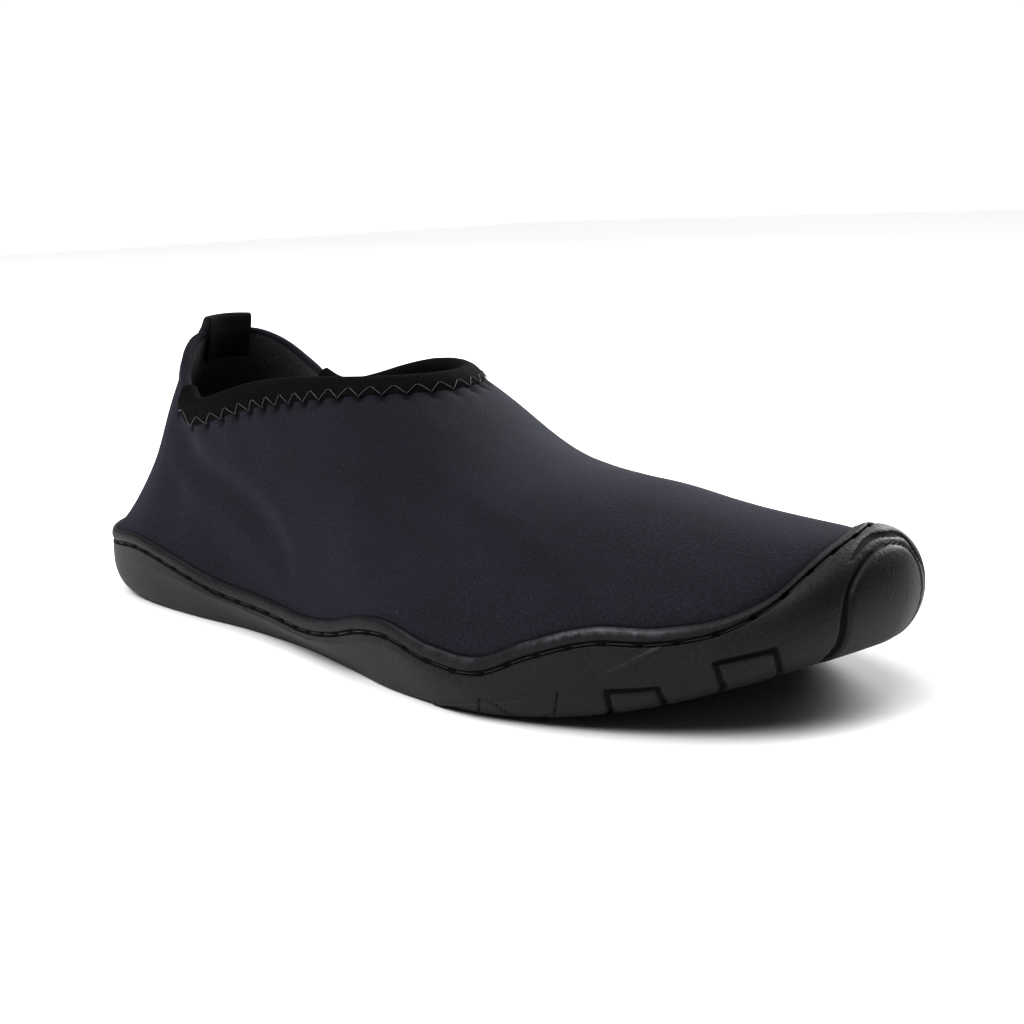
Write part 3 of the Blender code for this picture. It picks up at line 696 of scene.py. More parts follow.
# %% Walking face grid
ACROSS = 104
foot_ring = wall[0]
half_count = WALL_COLUMNS // 2
lateral_foot = foot_ring[1:half_count]
medial_foot = foot_ring[:half_count:-1]
share = np.linspace(0, 1, ACROSS + 1)[None, :, None]
face = lateral_foot[:, None, :] * (1 - share) + medial_foot[:, None, :] * share
face[..., 2] = floor_height(face[..., 0], face[..., 1])
face_points = np.concatenate((foot_ring[:1], face.reshape(-1, 3), foot_ring[half_count : half_count + 1]))
rungs = half_count - 1
face_quads = (skin(rungs, ACROSS + 1, wrap=False) + 1)[:, ::-1]
last = len(face_points) - 1
heel_fan = [(0, 1 + k + 1, 1 + k) for k in range(ACROSS)]
toe_fan = [(last, last - 2 - k, last - 1 - k) for k in range(ACROSS)]
print("walking face rungs:", rungs)

# %% [markdown]
# ## Lines moulded into the sole
#
# The tread is drawn with lines, as a mould maker would cut them: nested V grooves whose arms wrap up the
# side as little windows, thin cross lines where the sole flexes, and open rings under the heel. Distances
# are millimetres from the back of the heel, and across from a line a little inside the middle.

# %% Tread lines
TREAD_MIDDLE = 10.3
V_GROOVES = (
    ((244.5, 51.5), (229.5, 42), (212, 33.5), (195, 26.3), (175, 21), (170, 20), (167, 18.5), (164.3, 14.3),
     (167, 10.2), (180, 5.8), (188, 2), (200, -4.5), (210, -11), (220, -17), (228, -23), (234, -27.5),
     (237, -31), (238.5, -36)),
    ((254.5, 46), (241.5, 37.5), (230, 31), (220, 26.3), (207, 21.3), (195, 18), (187, 16.3), (182.6, 14),
     (190, 10.3), (200, 5.2), (210, 0), (220, -6), (230, -11.5), (240, -18), (247, -23.5), (251, -32)),
    ((265, 40), (251.5, 31), (243, 26.5), (233, 22), (225, 18.7), (215, 15), (206, 12.5), (210, 10.7),
     (220, 5.5), (230, 0), (236, -3.5), (245, -9.5), (252, -14.5), (258, -19.5), (262, -27)),
    ((273, 32), (266.3, 27), (258, 22.5), (250, 19), (240, 15.5), (232, 13), (229.8, 11), (235, 7),
     (242, 3), (248, -0.5), (255, -5), (262, -11), (267, -15.5), (270, -20)),
    ((278, 20.3), (273, 19), (266, 17), (258, 14), (250, 11), (245.3, 9.5), (250, 7), (257, 3.5),
     (264, 0.5), (270, -3.5), (274, -7), (276.5, -10)),
)  # fmt: skip
FLEX_LINES = (
    ((116, 40), (116.8, 25), (117, 10), (116.2, -5), (115, -15)),
    ((135, 43.5), (136.8, 30), (137.5, 15), (137.5, 0), (136.5, -15)),
    ((153.8, 49), (158, 36), (160.5, 22), (162, 8), (162.3, -3), (161, -19)),
    ((172, 54.5), (178, 43), (182.5, 32), (186, 18), (187.8, 5), (187.5, -9), (186, -21), (184, -31)),
    ((192, 59.5), (197, 51), (201.5, 41), (206, 28), (208.5, 17), (210.3, 0), (210, -14), (209, -25),
     (206.5, -37.5)),
    ((219, 57), (224, 50), (229, 38), (231.5, 29), (234, 15), (235.8, 0), (235.3, -14), (233, -26),
     (228.5, -36)),
    ((245, 49.5), (249, 41), (253, 30), (255.5, 17), (257, 5), (257.5, -10), (256.5, -20), (252, -30)),
    ((73, 31), (90, 30.7), (110, 30.5), (125, 31), (137, 32.7), (150, 35.7), (160, 38.5), (178, 44.5),
     (190, 50), (200, 54.5), (207, 60)),
    ((88, 25.5), (100, 22.8), (110, 21.5), (120, 20.6), (130, 21), (140, 22.2), (150, 24.3), (160, 26.5),
     (172, 30), (183, 33), (192, 37), (202, 40.5), (210, 43.5), (220, 50), (230, 57)),
    ((90, -6), (100, -2), (110, 1), (120, 3.2), (132, 4.7), (140, 4.5), (150, 3), (160, 1), (170, -2),
     (180, -5.5), (187, -8.7), (200, -14.5), (210, -21), (220, -28), (228, -36)),
    ((63, -25.5), (75, -20), (90, -13.5), (100, -9.8), (110, -7.5), (120, -6), (135, -5.8), (145, -7),
     (160, -11), (170, -14.8), (180, -19.5), (190, -24), (200, -30), (206, -37)),
)  # fmt: skip
DRAIN_HOLES = (
    # from_heel, across, radius
    (172.5, 25, 1.8), (193.8, 31, 1.8), (215.2, 40.3, 1.8), (157.3, 14.3, 1.8), (173.5, 2.6, 1.8),
    (196.8, -8, 1.8), (212.5, -17.3, 1.8), (250, 15, 1.8), (241.3, 11, 2.3), (250.5, 1.3, 1.8),
)  # fmt: skip
WINDOWS = (
    # the two V grooves whose arms it joins, which end of them, and its top corners in mm
    (0, 1, 0, (101.2, -41.4, 10.2), (111.2, -36.6, 11.6)),
    (2, 3, 0, (121.9, -30.9, 17.3), (130.4, -22.4, 19.8)),
    (0, 1, -1, (98.0, 47.0, 10.5), (108.6, 44.2, 12.0)),
    (2, 3, -1, (121.0, 39.0, 17.6), (129.2, 31.6, 20.2)),
)
WALL_FLEX_LINES = (
    ((70.6, -48.7, 5.2), (67.2, -47.0, 0.2)),
    ((73.7, -48.4, 5.2), (77.0, -44.3, 1.3), (79, -43, 0.8)),
    ((91.2, -45.6, 9.8), (87.4, -44, 1.0)),
    ((-52.1, -34.0, 10.0), (-48.9, -34.4, 9.2)),
    ((-42.8, -34.8, 9.4), (-41.3, -34.7, 8.5)),
    ((-34.2, -35.9, 9.0), (-33.3, -35.3, 7.9)),
)
TOE_ARCH = (
    (137.5, -10, 13), (138.0, -9.0, 16.5), (137.4, -8.7, 20.0), (137.9, -8.9, 25.7), (137.7, -6.8, 30.8),
    (137.1, -2.8, 33.9), (136.6, 2.4, 36.2), (136.4, 7.5, 37.0), (136.6, 12.5, 36.0), (137.2, 16.6, 32.6),
    (137.0, 19.2, 27.0), (136.0, 20.4, 21.0), (135.0, 20.6, 16.0), (136.5, 20.3, 13.5),
)  # fmt: skip
TOE_STEP = (
    (135.6, -3.9, 35.2), (135.2, -1.6, 36.4), (134.1, 3.7, 38.1), (133.9, 6.2, 38.5), (134.6, 11.0, 38.5),
    (134.5, 16.2, 36.9), (136.1, 17.6, 34.5), (135.7, 20.9, 30.8), (135.0, 24.0, 27.0),
)  # fmt: skip
EDGE_RIDGE = (
    (52.5, -46.5, 0.6), (66, -48.3, 3.6), (80.7, -47.6, 6.7), (96.0, -44.0, 11.7), (105.3, -40.8, 15.9),
    (109.3, -38.8, 18.4), (112.4, -37.0, 20.2),
)  # fmt: skip
HEEL_RINGS = 5


def heel_ring(k):
    """One of the open rings nested under the heel, in the units of the tables."""
    left, right = 13.5 - 9.5 * k, 57.3 + 10.75 * k
    top, bottom = 12.2 + 5.35 * k, -6.8 - 6.2 * k
    slant = 0.17
    middle = ((left + right) / 2, (top + bottom) / 2)
    long = (right - left) / 2
    wide = math.sqrt(((top - bottom) / 2) ** 2 - (slant * long) ** 2)
    t = np.linspace(0, TURN, 73)
    u = middle[0] + long * np.cos(t)
    return np.stack((u, middle[1] + slant * (u - middle[0]) + wide * np.sin(t)), -1)


# %% [markdown]
# ## Cutting the lines
#
# Each line is laid on the smooth sole first, from below for the tread and from outside for the wall. Every
# point of the mesh then sinks along its normal by how near it is to a line. The distance to the nearest
# edge of a groove is stored too, because the material draws the lips sharper than the mesh can and paints
# shade in the grooves as a darker colour.

# %% Lay the lines on the sole
face_start = wall.shape[0] * wall.shape[1]
smooth_sole = BVHTree.FromPolygons(
    np.concatenate((wall.reshape(-1, 3), face_points)).tolist(),
    skin(*wall.shape[:2]).tolist() + (face_quads + face_start).tolist(),
)


def from_below(line):
    """A tread line, in millimetres from the heel and across, laid on the sole from below."""
    laid = []
    for u, v in rounded_line(line, 5):
        start = Vector((u * MM - SOLE_LENGTH / 2, (TREAD_MIDDLE - v) * MM, -0.1))
        hit = smooth_sole.ray_cast(start, Vector((0, 0, 1)))[0]
        if hit is not None:
            laid.append(hit)
    return np.array(laid)


def from_outside(line, corners=False):
    """A line in space, laid on the nearest part of the sole, smoothly or with its corners kept."""
    if corners:
        points = np.concatenate([np.linspace(a, b, 8) for a, b in zip(line[:-1], line[1:])])
    else:
        points = rounded_line(line, 8)
    return np.array([smooth_sole.find_nearest(Vector(p) * MM)[0] for p in points])


def on_the_flat(line):
    """The part of a line that stays on the walking face."""
    return line[line[:, 2] - floor_height(line[:, 0], line[:, 1]) < 1.0 * MM]


EVEN = (1.0, 1.0)
arms = [on_the_flat(from_below(line)) for line in V_GROOVES]
# line, width, depth, and how both change from the line's start to its end
cuts = [(arm, 1.4, 1.1, EVEN) for arm in arms]
cuts += [(on_the_flat(from_below(line)), 0.6, 0.35, EVEN) for line in FLEX_LINES]
cuts += [(from_below(heel_ring(k)), 1.2, 0.9, EVEN) for k in range(HEEL_RINGS)]
for one, other, end, first_corner, second_corner in WINDOWS:
    window = (arms[one][end] / MM, first_corner, second_corner, arms[other][end] / MM)
    cuts.append((from_outside(window, corners=True), 1.3, 0.9, EVEN))
cuts += [(from_outside(line, corners=True), 0.6, 0.35, EVEN) for line in WALL_FLEX_LINES]
arch = (arms[-1][0] / MM, *TOE_ARCH[1:-1], arms[-1][-1] / MM)
arch_line = from_outside(arch)
arch_change = (1.0, 0.95, 0.8, 0.6, 0.5, 0.45, 0.42, 0.4, 0.45, 0.5, 0.5, 0.4)
cuts.append((arch_line, 2.2, 1.2, arch_change))
cuts.append((from_outside(TOE_STEP), 2.0, 0.7, (0.4, 1.0, 1.0, 0.5)))
ridge_line = from_outside(EDGE_RIDGE)
print("lines cut in the sole:", len(cuts))

# %% [markdown]
# ### Where the stitches go
#
# The line along the bottom of the stitched groove is divided into equal stitches. Each stitch starts and
# ends at a knot, where the rubber is drawn in a little.

# %% Stitch places
STITCH = 8.0 * MM
groove_thetas = np.linspace(0, TURN, 6001)
groove_share = wall_share(groove_thetas, np.full((len(groove_thetas), 1), RIM_HEIGHT))[0][:, 0]
groove_line = place(groove_thetas, *wall_curve(groove_thetas, groove_share, GROOVE_DEPTH * 0.45))
groove_out = unit(place(groove_thetas, *wall_curve(groove_thetas, groove_share, -MM)) - groove_line)
groove_run = walked(groove_line)
stitch_count = int(groove_run[-1] / STITCH)
knots = sample(groove_line, groove_run, np.arange(stitch_count) * groove_run[-1] / stitch_count)
print("stitches in the groove:", stitch_count)

# %% [markdown]
# ### Sinking the mesh
#
# `near` measures how far points are from a line. `carve` takes the deepest of all the lines at each point,
# then adds what stands out: a low ridge on the wall, and the panel inside the arch on the toe.

# %% Carve
# the stored distance, in millimetres, where no groove is near
NO_GROOVE = 3.0


def near(points, line, reach):
    """Distance to a line, and the share along it, worked out only for the points that are near it."""
    flat = points.reshape(-1, 3)
    low, high = line.min(axis=0) - reach, line.max(axis=0) + reach
    close = np.nonzero(np.all((flat > low) & (flat < high), axis=1))[0]
    away = np.full(len(flat), reach)
    along = np.zeros(len(flat))
    for k, (a, b) in enumerate(zip(line[:-1], line[1:])):
        run = b - a
        t = np.clip((flat[close] - a) @ run / max(run @ run, 1e-12), 0, 1)
        d = np.linalg.norm(flat[close] - a - t[:, None] * run, axis=1)
        better = d < away[close]
        away[close] = np.where(better, d, away[close])
        along[close] = np.where(better, (k + t) / (len(line) - 1), along[close])
    return away.reshape(points.shape[:-1]), along.reshape(points.shape[:-1])


def on_toe_panel(points):
    """1 inside the arch on the front of the toe, 0 outside, fading at the bottom and on the inner side."""
    arch = np.array(TOE_ARCH[2:-2]) * MM
    height = np.interp(points[..., 1], arch[:, 1], arch[:, 2], left=0, right=0)
    inside = (points[..., 0] > 0.127) & (points[..., 2] < height)
    return inside * step(points[..., 2], 0.012, 0.017) * (1 - step(points[..., 1], 0.009, 0.019))


def carve(points, normals):
    """Moves the points along their normals. Returns them, and the distance to a groove's edge in mm."""
    sink = np.zeros(points.shape[:-1])
    edge = np.full(points.shape[:-1], NO_GROOVE)
    for line, width, depth, change in cuts:
        away, along = near(points, line, 4 * MM)
        away = away / MM
        share = np.interp(along, np.linspace(0, 1, len(change)), change)
        sink = np.maximum(sink, depth * share * (1 - step(away / (width * share), 0.22, 0.62)))
        edge = np.minimum(edge, away - width * share / 2 + 0.3 * (1 - share))
    for u, v, radius in DRAIN_HOLES:
        middle = np.array((u * MM - SOLE_LENGTH / 2, (TREAD_MIDDLE - v) * MM))
        away = np.linalg.norm(points[..., :2] - middle, axis=-1) / MM
        away = np.where(np.abs(normals[..., 2]) > 0.8, away, 9.0)
        sink = np.maximum(sink, 2.2 * (1 - step(away, radius * 0.6, radius * 1.05)))
        edge = np.minimum(edge, away - radius)
    for knot in knots:
        close = np.nonzero(np.abs(points - knot).max(axis=-1) < 2 * MM)
        away = np.linalg.norm(points[close] - knot, axis=-1) / MM
        sink[close] = np.maximum(sink[close], 0.35 * (1 - step(away, 0.4, 1.0)))
        edge[close] = np.minimum(edge[close], away - 0.75)
    raised = 0.50 * np.exp(-((near(points, ridge_line, 3 * MM)[0] / MM / 0.55) ** 2))
    raised = np.where(raised > 0.01, raised, 0)
    to_arch = near(points, arch_line, 3 * MM)[0] / MM
    raised = raised + 0.4 * on_toe_panel(points) * step(to_arch, 0.0, 1.6)
    return points - normals * ((sink - raised) * MM)[..., None], edge


# %% [markdown]
# ### The cup as one mesh
#
# The wall's last rings go down its inside to the bed, which closes the cup. The edge of the walking face is
# set to the wall's first ring after carving, so that no gap opens where a groove runs over it.

# %% Make the outsole
# where the top of the flange is painted pale on its outer side, as a pale haze with a painted highlight:
# x where it begins, is full, wanes and ends, and how much
FLANGE_HAZE_AND_HIGHLIGHT = ((0.074, 0.092, 0.108, 0.119, 1.0), (0.045, 0.055, 0.068, 0.078, 0.35))
carved_wall, wall_edge = carve(wall, grid_normals(wall))
middle_share = wall_share(wall_thetas, np.full((WALL_COLUMNS, 1), 6 * MM))[0][:, 0]
middle_ring = place(wall_thetas, *wall_curve(wall_thetas, middle_share, WALL_THICKNESS))
bed_share = np.minimum(1, SOLE_THICKNESS / belly_height(wall_thetas))
bed = place(wall_thetas, under_wall(wall_thetas, bed_share)[0] + WALL_THICKNESS, SOLE_THICKNESS)
carved_wall = np.concatenate((carved_wall, middle_ring[None], bed[None]))
wall_edge = np.concatenate((wall_edge, np.full((2, WALL_COLUMNS), NO_GROOVE)))
wall_flange = np.concatenate((section[:, 2], np.zeros((2, WALL_COLUMNS))))
ahead = carved_wall[..., 0]
flange_haze_and_highlight = sum(much * step(ahead, a, b) * (1 - step(ahead, c, d)) for a, b, c, d, much in FLANGE_HAZE_AND_HIGHLIGHT)
top_edge = np.exp(-(((carved_wall[..., 2] - wall[-6][None, :, 2]) / MM + 0.2) ** 2) / 0.4)
# painted highlight with a pale haze along the flange's top edge on the outer side
wall_haze_and_highlight = wall_flange * flange_haze_and_highlight * top_edge * (carved_wall[..., 1] < 0)
wall_fields = {"groove": wall_edge, "flange": wall_flange, "haze_and_painted_highlight": wall_haze_and_highlight}
wall_faces = skin(*carved_wall.shape[:2]).tolist()
bed_start = (carved_wall.shape[0] - 1) * WALL_COLUMNS
for i in range(half_count):
    corners = [i, i + 1, (WALL_COLUMNS - i - 1) % WALL_COLUMNS, (WALL_COLUMNS - i) % WALL_COLUMNS]
    corners = [bed_start + c for n, c in enumerate(corners) if c not in corners[:n]]
    wall_faces.append(corners[::-1])
make_mesh("outsole_wall", carved_wall, wall_faces, rubber, "rubber", "outsole", wall_fields)

downward = np.tile(np.array((0.0, 0.0, -1.0)), (len(face_points), 1))
carved_face, face_edge = carve(face_points, downward)
carved_face[1 : last : ACROSS + 1] = carved_wall[0, 1:half_count]
carved_face[1 + ACROSS : last : ACROSS + 1] = carved_wall[0, :half_count:-1]
carved_face[[0, last]] = carved_wall[0, [0, half_count]]
face_faces = face_quads.tolist() + heel_fan + toe_fan
face_fields = {"groove": face_edge}
make_mesh("outsole_tread", carved_face, face_faces, rubber_grained, "rubber", "outsole", face_fields)

# %% [markdown]
# ## The upper
#
# A stretch upper has almost no seams, so its whole look is its surface: where it stands up out of the cup,
# how full it is, how it hollows beside the collar, and the slack folds that it takes when no foot is in
# it. Its lines run up from the sole to the collar, and every line is a blend between the two.

# %% Surface of the upper
THROAT = -SOLE_LENGTH / 2 + COLLAR_SETBACK + COLLAR_LENGTH


def collar_height(x):
    """The side view of the collar's edge, and its height carried on ahead of the throat."""
    share = (x - THROAT) / COLLAR_LENGTH + 1
    stations = [row[0] for row in COLLAR]
    to_heel = smooth(stations, [row[2] for row in COLLAR], share)
    to_instep = smooth(stations, [row[3] for row in COLLAR], share)
    return ANKLE_HEIGHT + (HEEL_HEIGHT - ANKLE_HEIGHT) * to_heel + (INSTEP_HEIGHT - ANKLE_HEIGHT) * to_instep


def vamp_fall(edge, away):
    """How much lower than the collar the upper's top is, away from a point of the front of the collar."""
    forward = np.clip(2 * ((edge[..., 0] - THROAT) / COLLAR_LENGTH + 1) - 1, 0, 1)
    ahead = away * forward / (SOLE_LENGTH / 2 - THROAT)
    return (INSTEP_HEIGHT - TOE_HEIGHT) * (1 - smooth(*np.array(RIDGE).T, ahead))


def collar_edge(theta):
    theta = np.mod(theta, TURN)
    lateral = theta <= np.pi
    keys = angle_of(np.array([row[0] for row in ARRIVAL]))
    values = angle_of(np.array([row[1] for row in ARRIVAL]))
    arrival = smooth(keys, values, np.where(lateral, theta, TURN - theta))
    share = station_of(arrival)
    x = -SOLE_LENGTH / 2 + COLLAR_SETBACK + COLLAR_LENGTH * share
    heel_middle = float(outline(np.array(0.6))[1] + outline(np.array(-0.6))[1]) / 2
    throat_middle = float(outline(np.array(1.75))[1] + outline(np.array(-1.75))[1]) / 2
    middle = heel_middle + (throat_middle - heel_middle) * share
    half = COLLAR_WIDTH / 2 * collar_half_at(np.where(lateral, arrival, -arrival))
    return np.stack((x, middle + half, collar_height(x)), -1)


def crown_fall(flat):
    ahead = step(flat[..., 0], THROAT, THROAT + COLLAR_WIDTH / 2)
    theta = angle_of(flat[..., 0] / SOLE_LENGTH + 0.5)
    lateral = outline(theta)[..., 1]
    medial = outline(-theta)[..., 1]
    across = (2 * flat[..., 1] - lateral - medial) / np.maximum(medial - lateral, GAP)
    return CROWN_FALL * ahead * np.minimum(1, across**2)


def upper_surface(theta, level):
    start = place(theta, TOE_LEAN * lean_at(theta) + RIM_WIDTH + GAP, rim_height(theta))
    edge = collar_edge(theta)
    eased = 1 - np.cos(level * np.pi / 2)
    t = level + (eased - level) * station_of(theta)
    flat = start[..., :2] * (1 - t)[..., None] + edge[..., :2] * t[..., None]
    fullness = full_at(theta)
    rise = (1 - np.clip(1 - t, 0, 1) ** fullness) ** (1 / fullness)
    away = np.linalg.norm(flat - edge[..., :2], axis=-1)
    top = collar_height(flat[..., 0]) - vamp_fall(edge, away) - crown_fall(flat)
    return np.concatenate((flat, (start[..., 2] + (top - start[..., 2]) * rise)[..., None]), -1)


UPPER_COLUMNS = 820
UPPER_ROWS = 104
upper_thetas = even_thetas(UPPER_COLUMNS)
levels = np.linspace(0, 1, UPPER_ROWS)
upper_grid = upper_surface(*np.broadcast_arrays(upper_thetas[None, :], levels[:, None]))
# the foot of the cloth leans out over the rim, and the lean dies away as the cloth climbs
climb = np.cumsum(np.linalg.norm(np.diff(upper_grid, axis=0, prepend=upper_grid[:1]), axis=-1), axis=0)
flare = np.exp(-climb / (6.5 * MM)) * (1 - step(climb, 12 * MM, 30 * MM))
flare = (RIM_WIDTH + GAP - LIP_WIDTH - 0.1 * MM) * flare
outward = unit(outline(upper_thetas) - inset(upper_thetas, np.full(UPPER_COLUMNS, MM)))
upper_grid[..., :2] += outward[None] * flare[..., None]
upper_normals = grid_normals(upper_grid)
print("upper grid:", upper_grid.shape[:2])

# %% [markdown]
# ### Slack folds
#
# Knit over foam doesn't crease sharply. It bends into soft troughs with a low swelling beside them. Each
# fold here is a line up the shoe with a width and a depth, deepest in its middle and fading at both ends.

# %% Folds
FOLDS = (
    # points in mm, width, depth, swelling
    (((-88, -18, 52), (-81.3, -20.5, 49.5), (-65.5, -26.2, 41.7), (-43, -30.3, 36.4), (-29.8, -32.4, 32.6),
      (-20.5, -34.3, 27.3), (-11.3, -36.4, 19.7)), 9.0, 1.3, 0.8),
    (((-84, 27, 52), (-66, 33, 42), (-45, 37, 34), (-28, 39, 27)), 9.0, 1.1, 0.6),
)  # fmt: skip
upper_tree = BVHTree.FromPolygons(upper_grid.reshape(-1, 3).tolist(), skin(*upper_grid.shape[:2]).tolist())


def fold(points, line, width, depth, swelling):
    """How far out the cloth moves: the trough, and the swelling on both sides of it."""
    laid = np.array([upper_tree.find_nearest(Vector(p) * MM)[0] for p in rounded_line(line, 6)])
    flat = points.reshape(-1, 3)
    best = np.full(len(flat), 1.0)
    along = np.zeros(len(flat))
    run = walked(laid)
    for k, (a, b) in enumerate(zip(laid[:-1], laid[1:])):
        piece = b - a
        t = np.clip((flat - a) @ piece / max(piece @ piece, 1e-12), 0, 1)
        away = np.linalg.norm(flat - a - t[:, None] * piece, axis=1)
        closer = away < best
        best = np.where(closer, away, best)
        along = np.where(closer, (run[k] + t * (run[k + 1] - run[k])) / run[-1], along)
    fade = np.sin(np.pi * np.clip(along, 0, 1)) ** 0.7
    reach = best / MM / width
    trough = -depth * np.exp(-((reach * 2) ** 2))
    beside = swelling * np.exp(-((reach * 1.2 - 1.0) ** 2) * 4)
    return (fade * (trough + beside)).reshape(points.shape[:-1])


BULGES = (
    # x, y, z in mm, radius, how far out: the foam stands out at both ends of the binding
    (-91, -21, 57, 15, 1.9),
    (-91, 27, 57, 15, 1.4),
)
moved = np.zeros(upper_grid.shape[:2])
for line, width, depth, swelling in FOLDS:
    moved += fold(upper_grid, line, width, depth, swelling)
slack = 0.25 * np.sin(upper_grid[..., 0] / MM / 13.0 + 0.6) * np.sin(upper_grid[..., 2] / MM / 9.0 + 1.0)
held = step(levels[:, None], 0.0, 0.18) * (1 - step(levels[:, None], 0.88, 0.98))
swollen = np.zeros(upper_grid.shape[:2])
for x, y, z, radius, out in BULGES:
    away = np.linalg.norm(upper_grid / MM - np.array((x, y, z)), axis=-1)
    swollen += out * np.exp(-((away / radius) ** 2))
upper_skin = upper_grid + upper_normals * (((moved + slack) * held + swollen) * MM)[..., None]
print("deepest fold, mm:", round(float(-moved.min()), 2))
print("highest swelling, mm:", round(float(moved.max()), 2))

# %% [markdown]
# ### The shell
#
# The knit tucks down between the flange and the foam, and at the collar it rolls over a soft edge to the
# lining. The lining is the same surface moved in by the wall's thickness.

# %% Shell and lining
rim_inset = TOE_LEAN * lean_at(upper_thetas) + RIM_WIDTH + GAP
tucked = place(upper_thetas, rim_inset - 0.9 * MM, rim_height(upper_thetas) - 1.2 * MM)
skin_normals = grid_normals(upper_skin)
collar_away = np.linalg.norm(upper_skin - upper_skin[-1:], axis=-1)
behind_binding = 1 - step(upper_skin[-1:, :, 0], -0.084, -0.078)
rolled = 0.85 * MM * (1 - step(collar_away, 2.8 * MM, 5.2 * MM)) * behind_binding
shell = upper_skin + skin_normals * rolled[..., None]
inward = -skin_normals[-1]
up_at_edge = unit(upper_skin[-1] - upper_skin[-3])
turned = []
for k in range(1, 7):
    a = np.pi * k / 6
    thick = UPPER_WALL + rolled[-1][:, None]
    turned.append(shell[-1] + inward * thick * (1 - np.cos(a)) / 2 + up_at_edge * thick * 0.45 * np.sin(a))
shell = np.concatenate((tucked[None], shell, np.stack(turned)))


def cloth_uv(grid):
    """Metres along the shoe and up it, measured on the cloth."""
    climbed = np.cumsum(np.linalg.norm(np.diff(grid, axis=0), axis=-1), axis=0)
    up = np.concatenate((np.zeros((1, grid.shape[1])), climbed))
    rim = walked(grid[0])
    return np.stack((rim[None, :] + 0 * up, up), -1)


shell_faces = skin(*shell.shape[:2]).tolist()
upper = make_mesh("upper_knit", shell, shell_faces, knit, "knit", "upper", uv=cloth_uv(shell))
rows_down = list(range(UPPER_ROWS - 1, 0, -5))
lining_grid = np.stack([upper_skin[r] - skin_normals[r] * UPPER_WALL for r in rows_down])
inside_rim = np.maximum(rim_height(upper_thetas) - 4 * MM, SOLE_THICKNESS + 2 * MM)
deep = place(upper_thetas, rim_inset + UPPER_WALL, inside_rim)
foot = place(upper_thetas, rim_inset + UPPER_WALL + 1.5 * MM, np.full(UPPER_COLUMNS, SOLE_THICKNESS + 1 * MM))
lining_grid = np.concatenate((lining_grid, deep[None], foot[None]))
lining_faces = skin(*lining_grid.shape[:2]).tolist()
lining_uv = cloth_uv(lining_grid)
make_mesh("upper_lining", lining_grid, lining_faces, lining_cloth, "knit", "upper", uv=lining_uv)

# %% [markdown]
# ## The binding round the collar
#
# A strip of stretch tape is folded over the raw edge from ankle to ankle and caught with a zigzag. It is
# built like the real one: it follows the cloth's surface square to the edge, on both sides.

# %% Collar binding
edge_thetas = np.linspace(0, TURN, 2001)
collar_line = collar_edge(edge_thetas)
collar_share = (collar_line[:, 0] + SOLE_LENGTH / 2 - COLLAR_SETBACK) / COLLAR_LENGTH
band_line = collar_line[collar_share >= BAND_START]
run = walked(band_line)
BAND_COLUMNS = 420
at = np.linspace(0, run[-1], BAND_COLUMNS)
band_edge = sample(band_line, run, at)
print("binding along the collar, mm:", round(run[-1] / MM))
skin_tree = BVHTree.FromPolygons(upper_skin.reshape(-1, 3).tolist(), skin(*upper_skin.shape[:2]).tolist())


def on_cloth(point):
    """Nearest point of the cloth, and its outward normal."""
    spot, normal, _, _ = skin_tree.find_nearest(Vector(point))
    return np.array(spot), np.array(normal)


def band_height(share):
    return BAND_HEIGHT + (THROAT_BAND_HEIGHT - BAND_HEIGHT) * step(share, BAND_START, 0.40)


def cloth_path(point, along, reach, steps):
    """Points square down from the collar's edge on the cloth, with their normals."""
    spot, normal = on_cloth(point)
    spots = [(spot, normal)]
    for _ in range(steps):
        down = unit(np.cross(along, normal))
        if down[2] > 0:
            down = -down
        spot, normal = on_cloth(spot + down * reach / steps)
        spots.append((spot, normal))
    return spots


def cloth_paths(edge, reach, steps):
    """The points and the normals of a path down from every point of an edge."""
    along = unit(np.gradient(edge, axis=0))
    reaches = np.broadcast_to(reach, len(edge))
    paths = np.array([cloth_path(*each, steps) for each in zip(edge, along, reaches)])
    return paths[:, :, 0], paths[:, :, 1]


STEPS = 10
BELOW = 4
shares = (band_edge[:, 0] + SOLE_LENGTH / 2 - COLLAR_SETBACK) / COLLAR_LENGTH
spots, norms = cloth_paths(band_edge, band_height(shares) * (STEPS + BELOW) / STEPS, STEPS + BELOW)
kernel = np.hanning(23)[1:-1]
kernel /= kernel.sum()


def calm(values):
    """Evens out small jumps along the band."""
    padded = np.concatenate((np.repeat(values[:1], 10, axis=0), values, np.repeat(values[-1:], 10, axis=0)))
    return np.apply_along_axis(lambda v: np.convolve(v, kernel, mode="valid"), 0, padded)


norms = unit(calm(norms))
spots = calm(spots)
rows = []
outer_lift = np.array([0.05, 0.32, 0.52, 0.70, 0.85, 0.95, 1.0, 1.05, 1.1, 1.1, 1.1]) * BAND_THICKNESS
pucker = 0.05 * MM * np.sin(at / (3.1 * MM) * np.pi)[:, None]
for k in range(STEPS, -1, -1):
    depth = outer_lift[STEPS - k] + 0.12 * MM
    rows.append(spots[:, k] + norms[:, k] * (depth + pucker * (0.9 if 0 < k < STEPS else 0)))
ups = unit(spots[:, 0] - spots[:, 2])
centre = spots[:, 0] - norms[:, 0] * UPPER_WALL / 2
radius = UPPER_WALL / 2 + BAND_THICKNESS * 1.1 + 0.12 * MM
for k in range(1, 8):
    a = np.pi * k / 8
    rows.append(centre + norms[:, 0] * radius * np.cos(a) + ups * radius * 0.95 * np.sin(a))
for k in range(0, STEPS + 1, 2):
    depth = UPPER_WALL + 0.12 * MM + (BAND_THICKNESS * 1.1 if k < STEPS else 0.2 * MM)
    rows.append(spots[:, k] - norms[:, k] * depth)
band_grid = np.stack(rows)
count = len(band_grid)
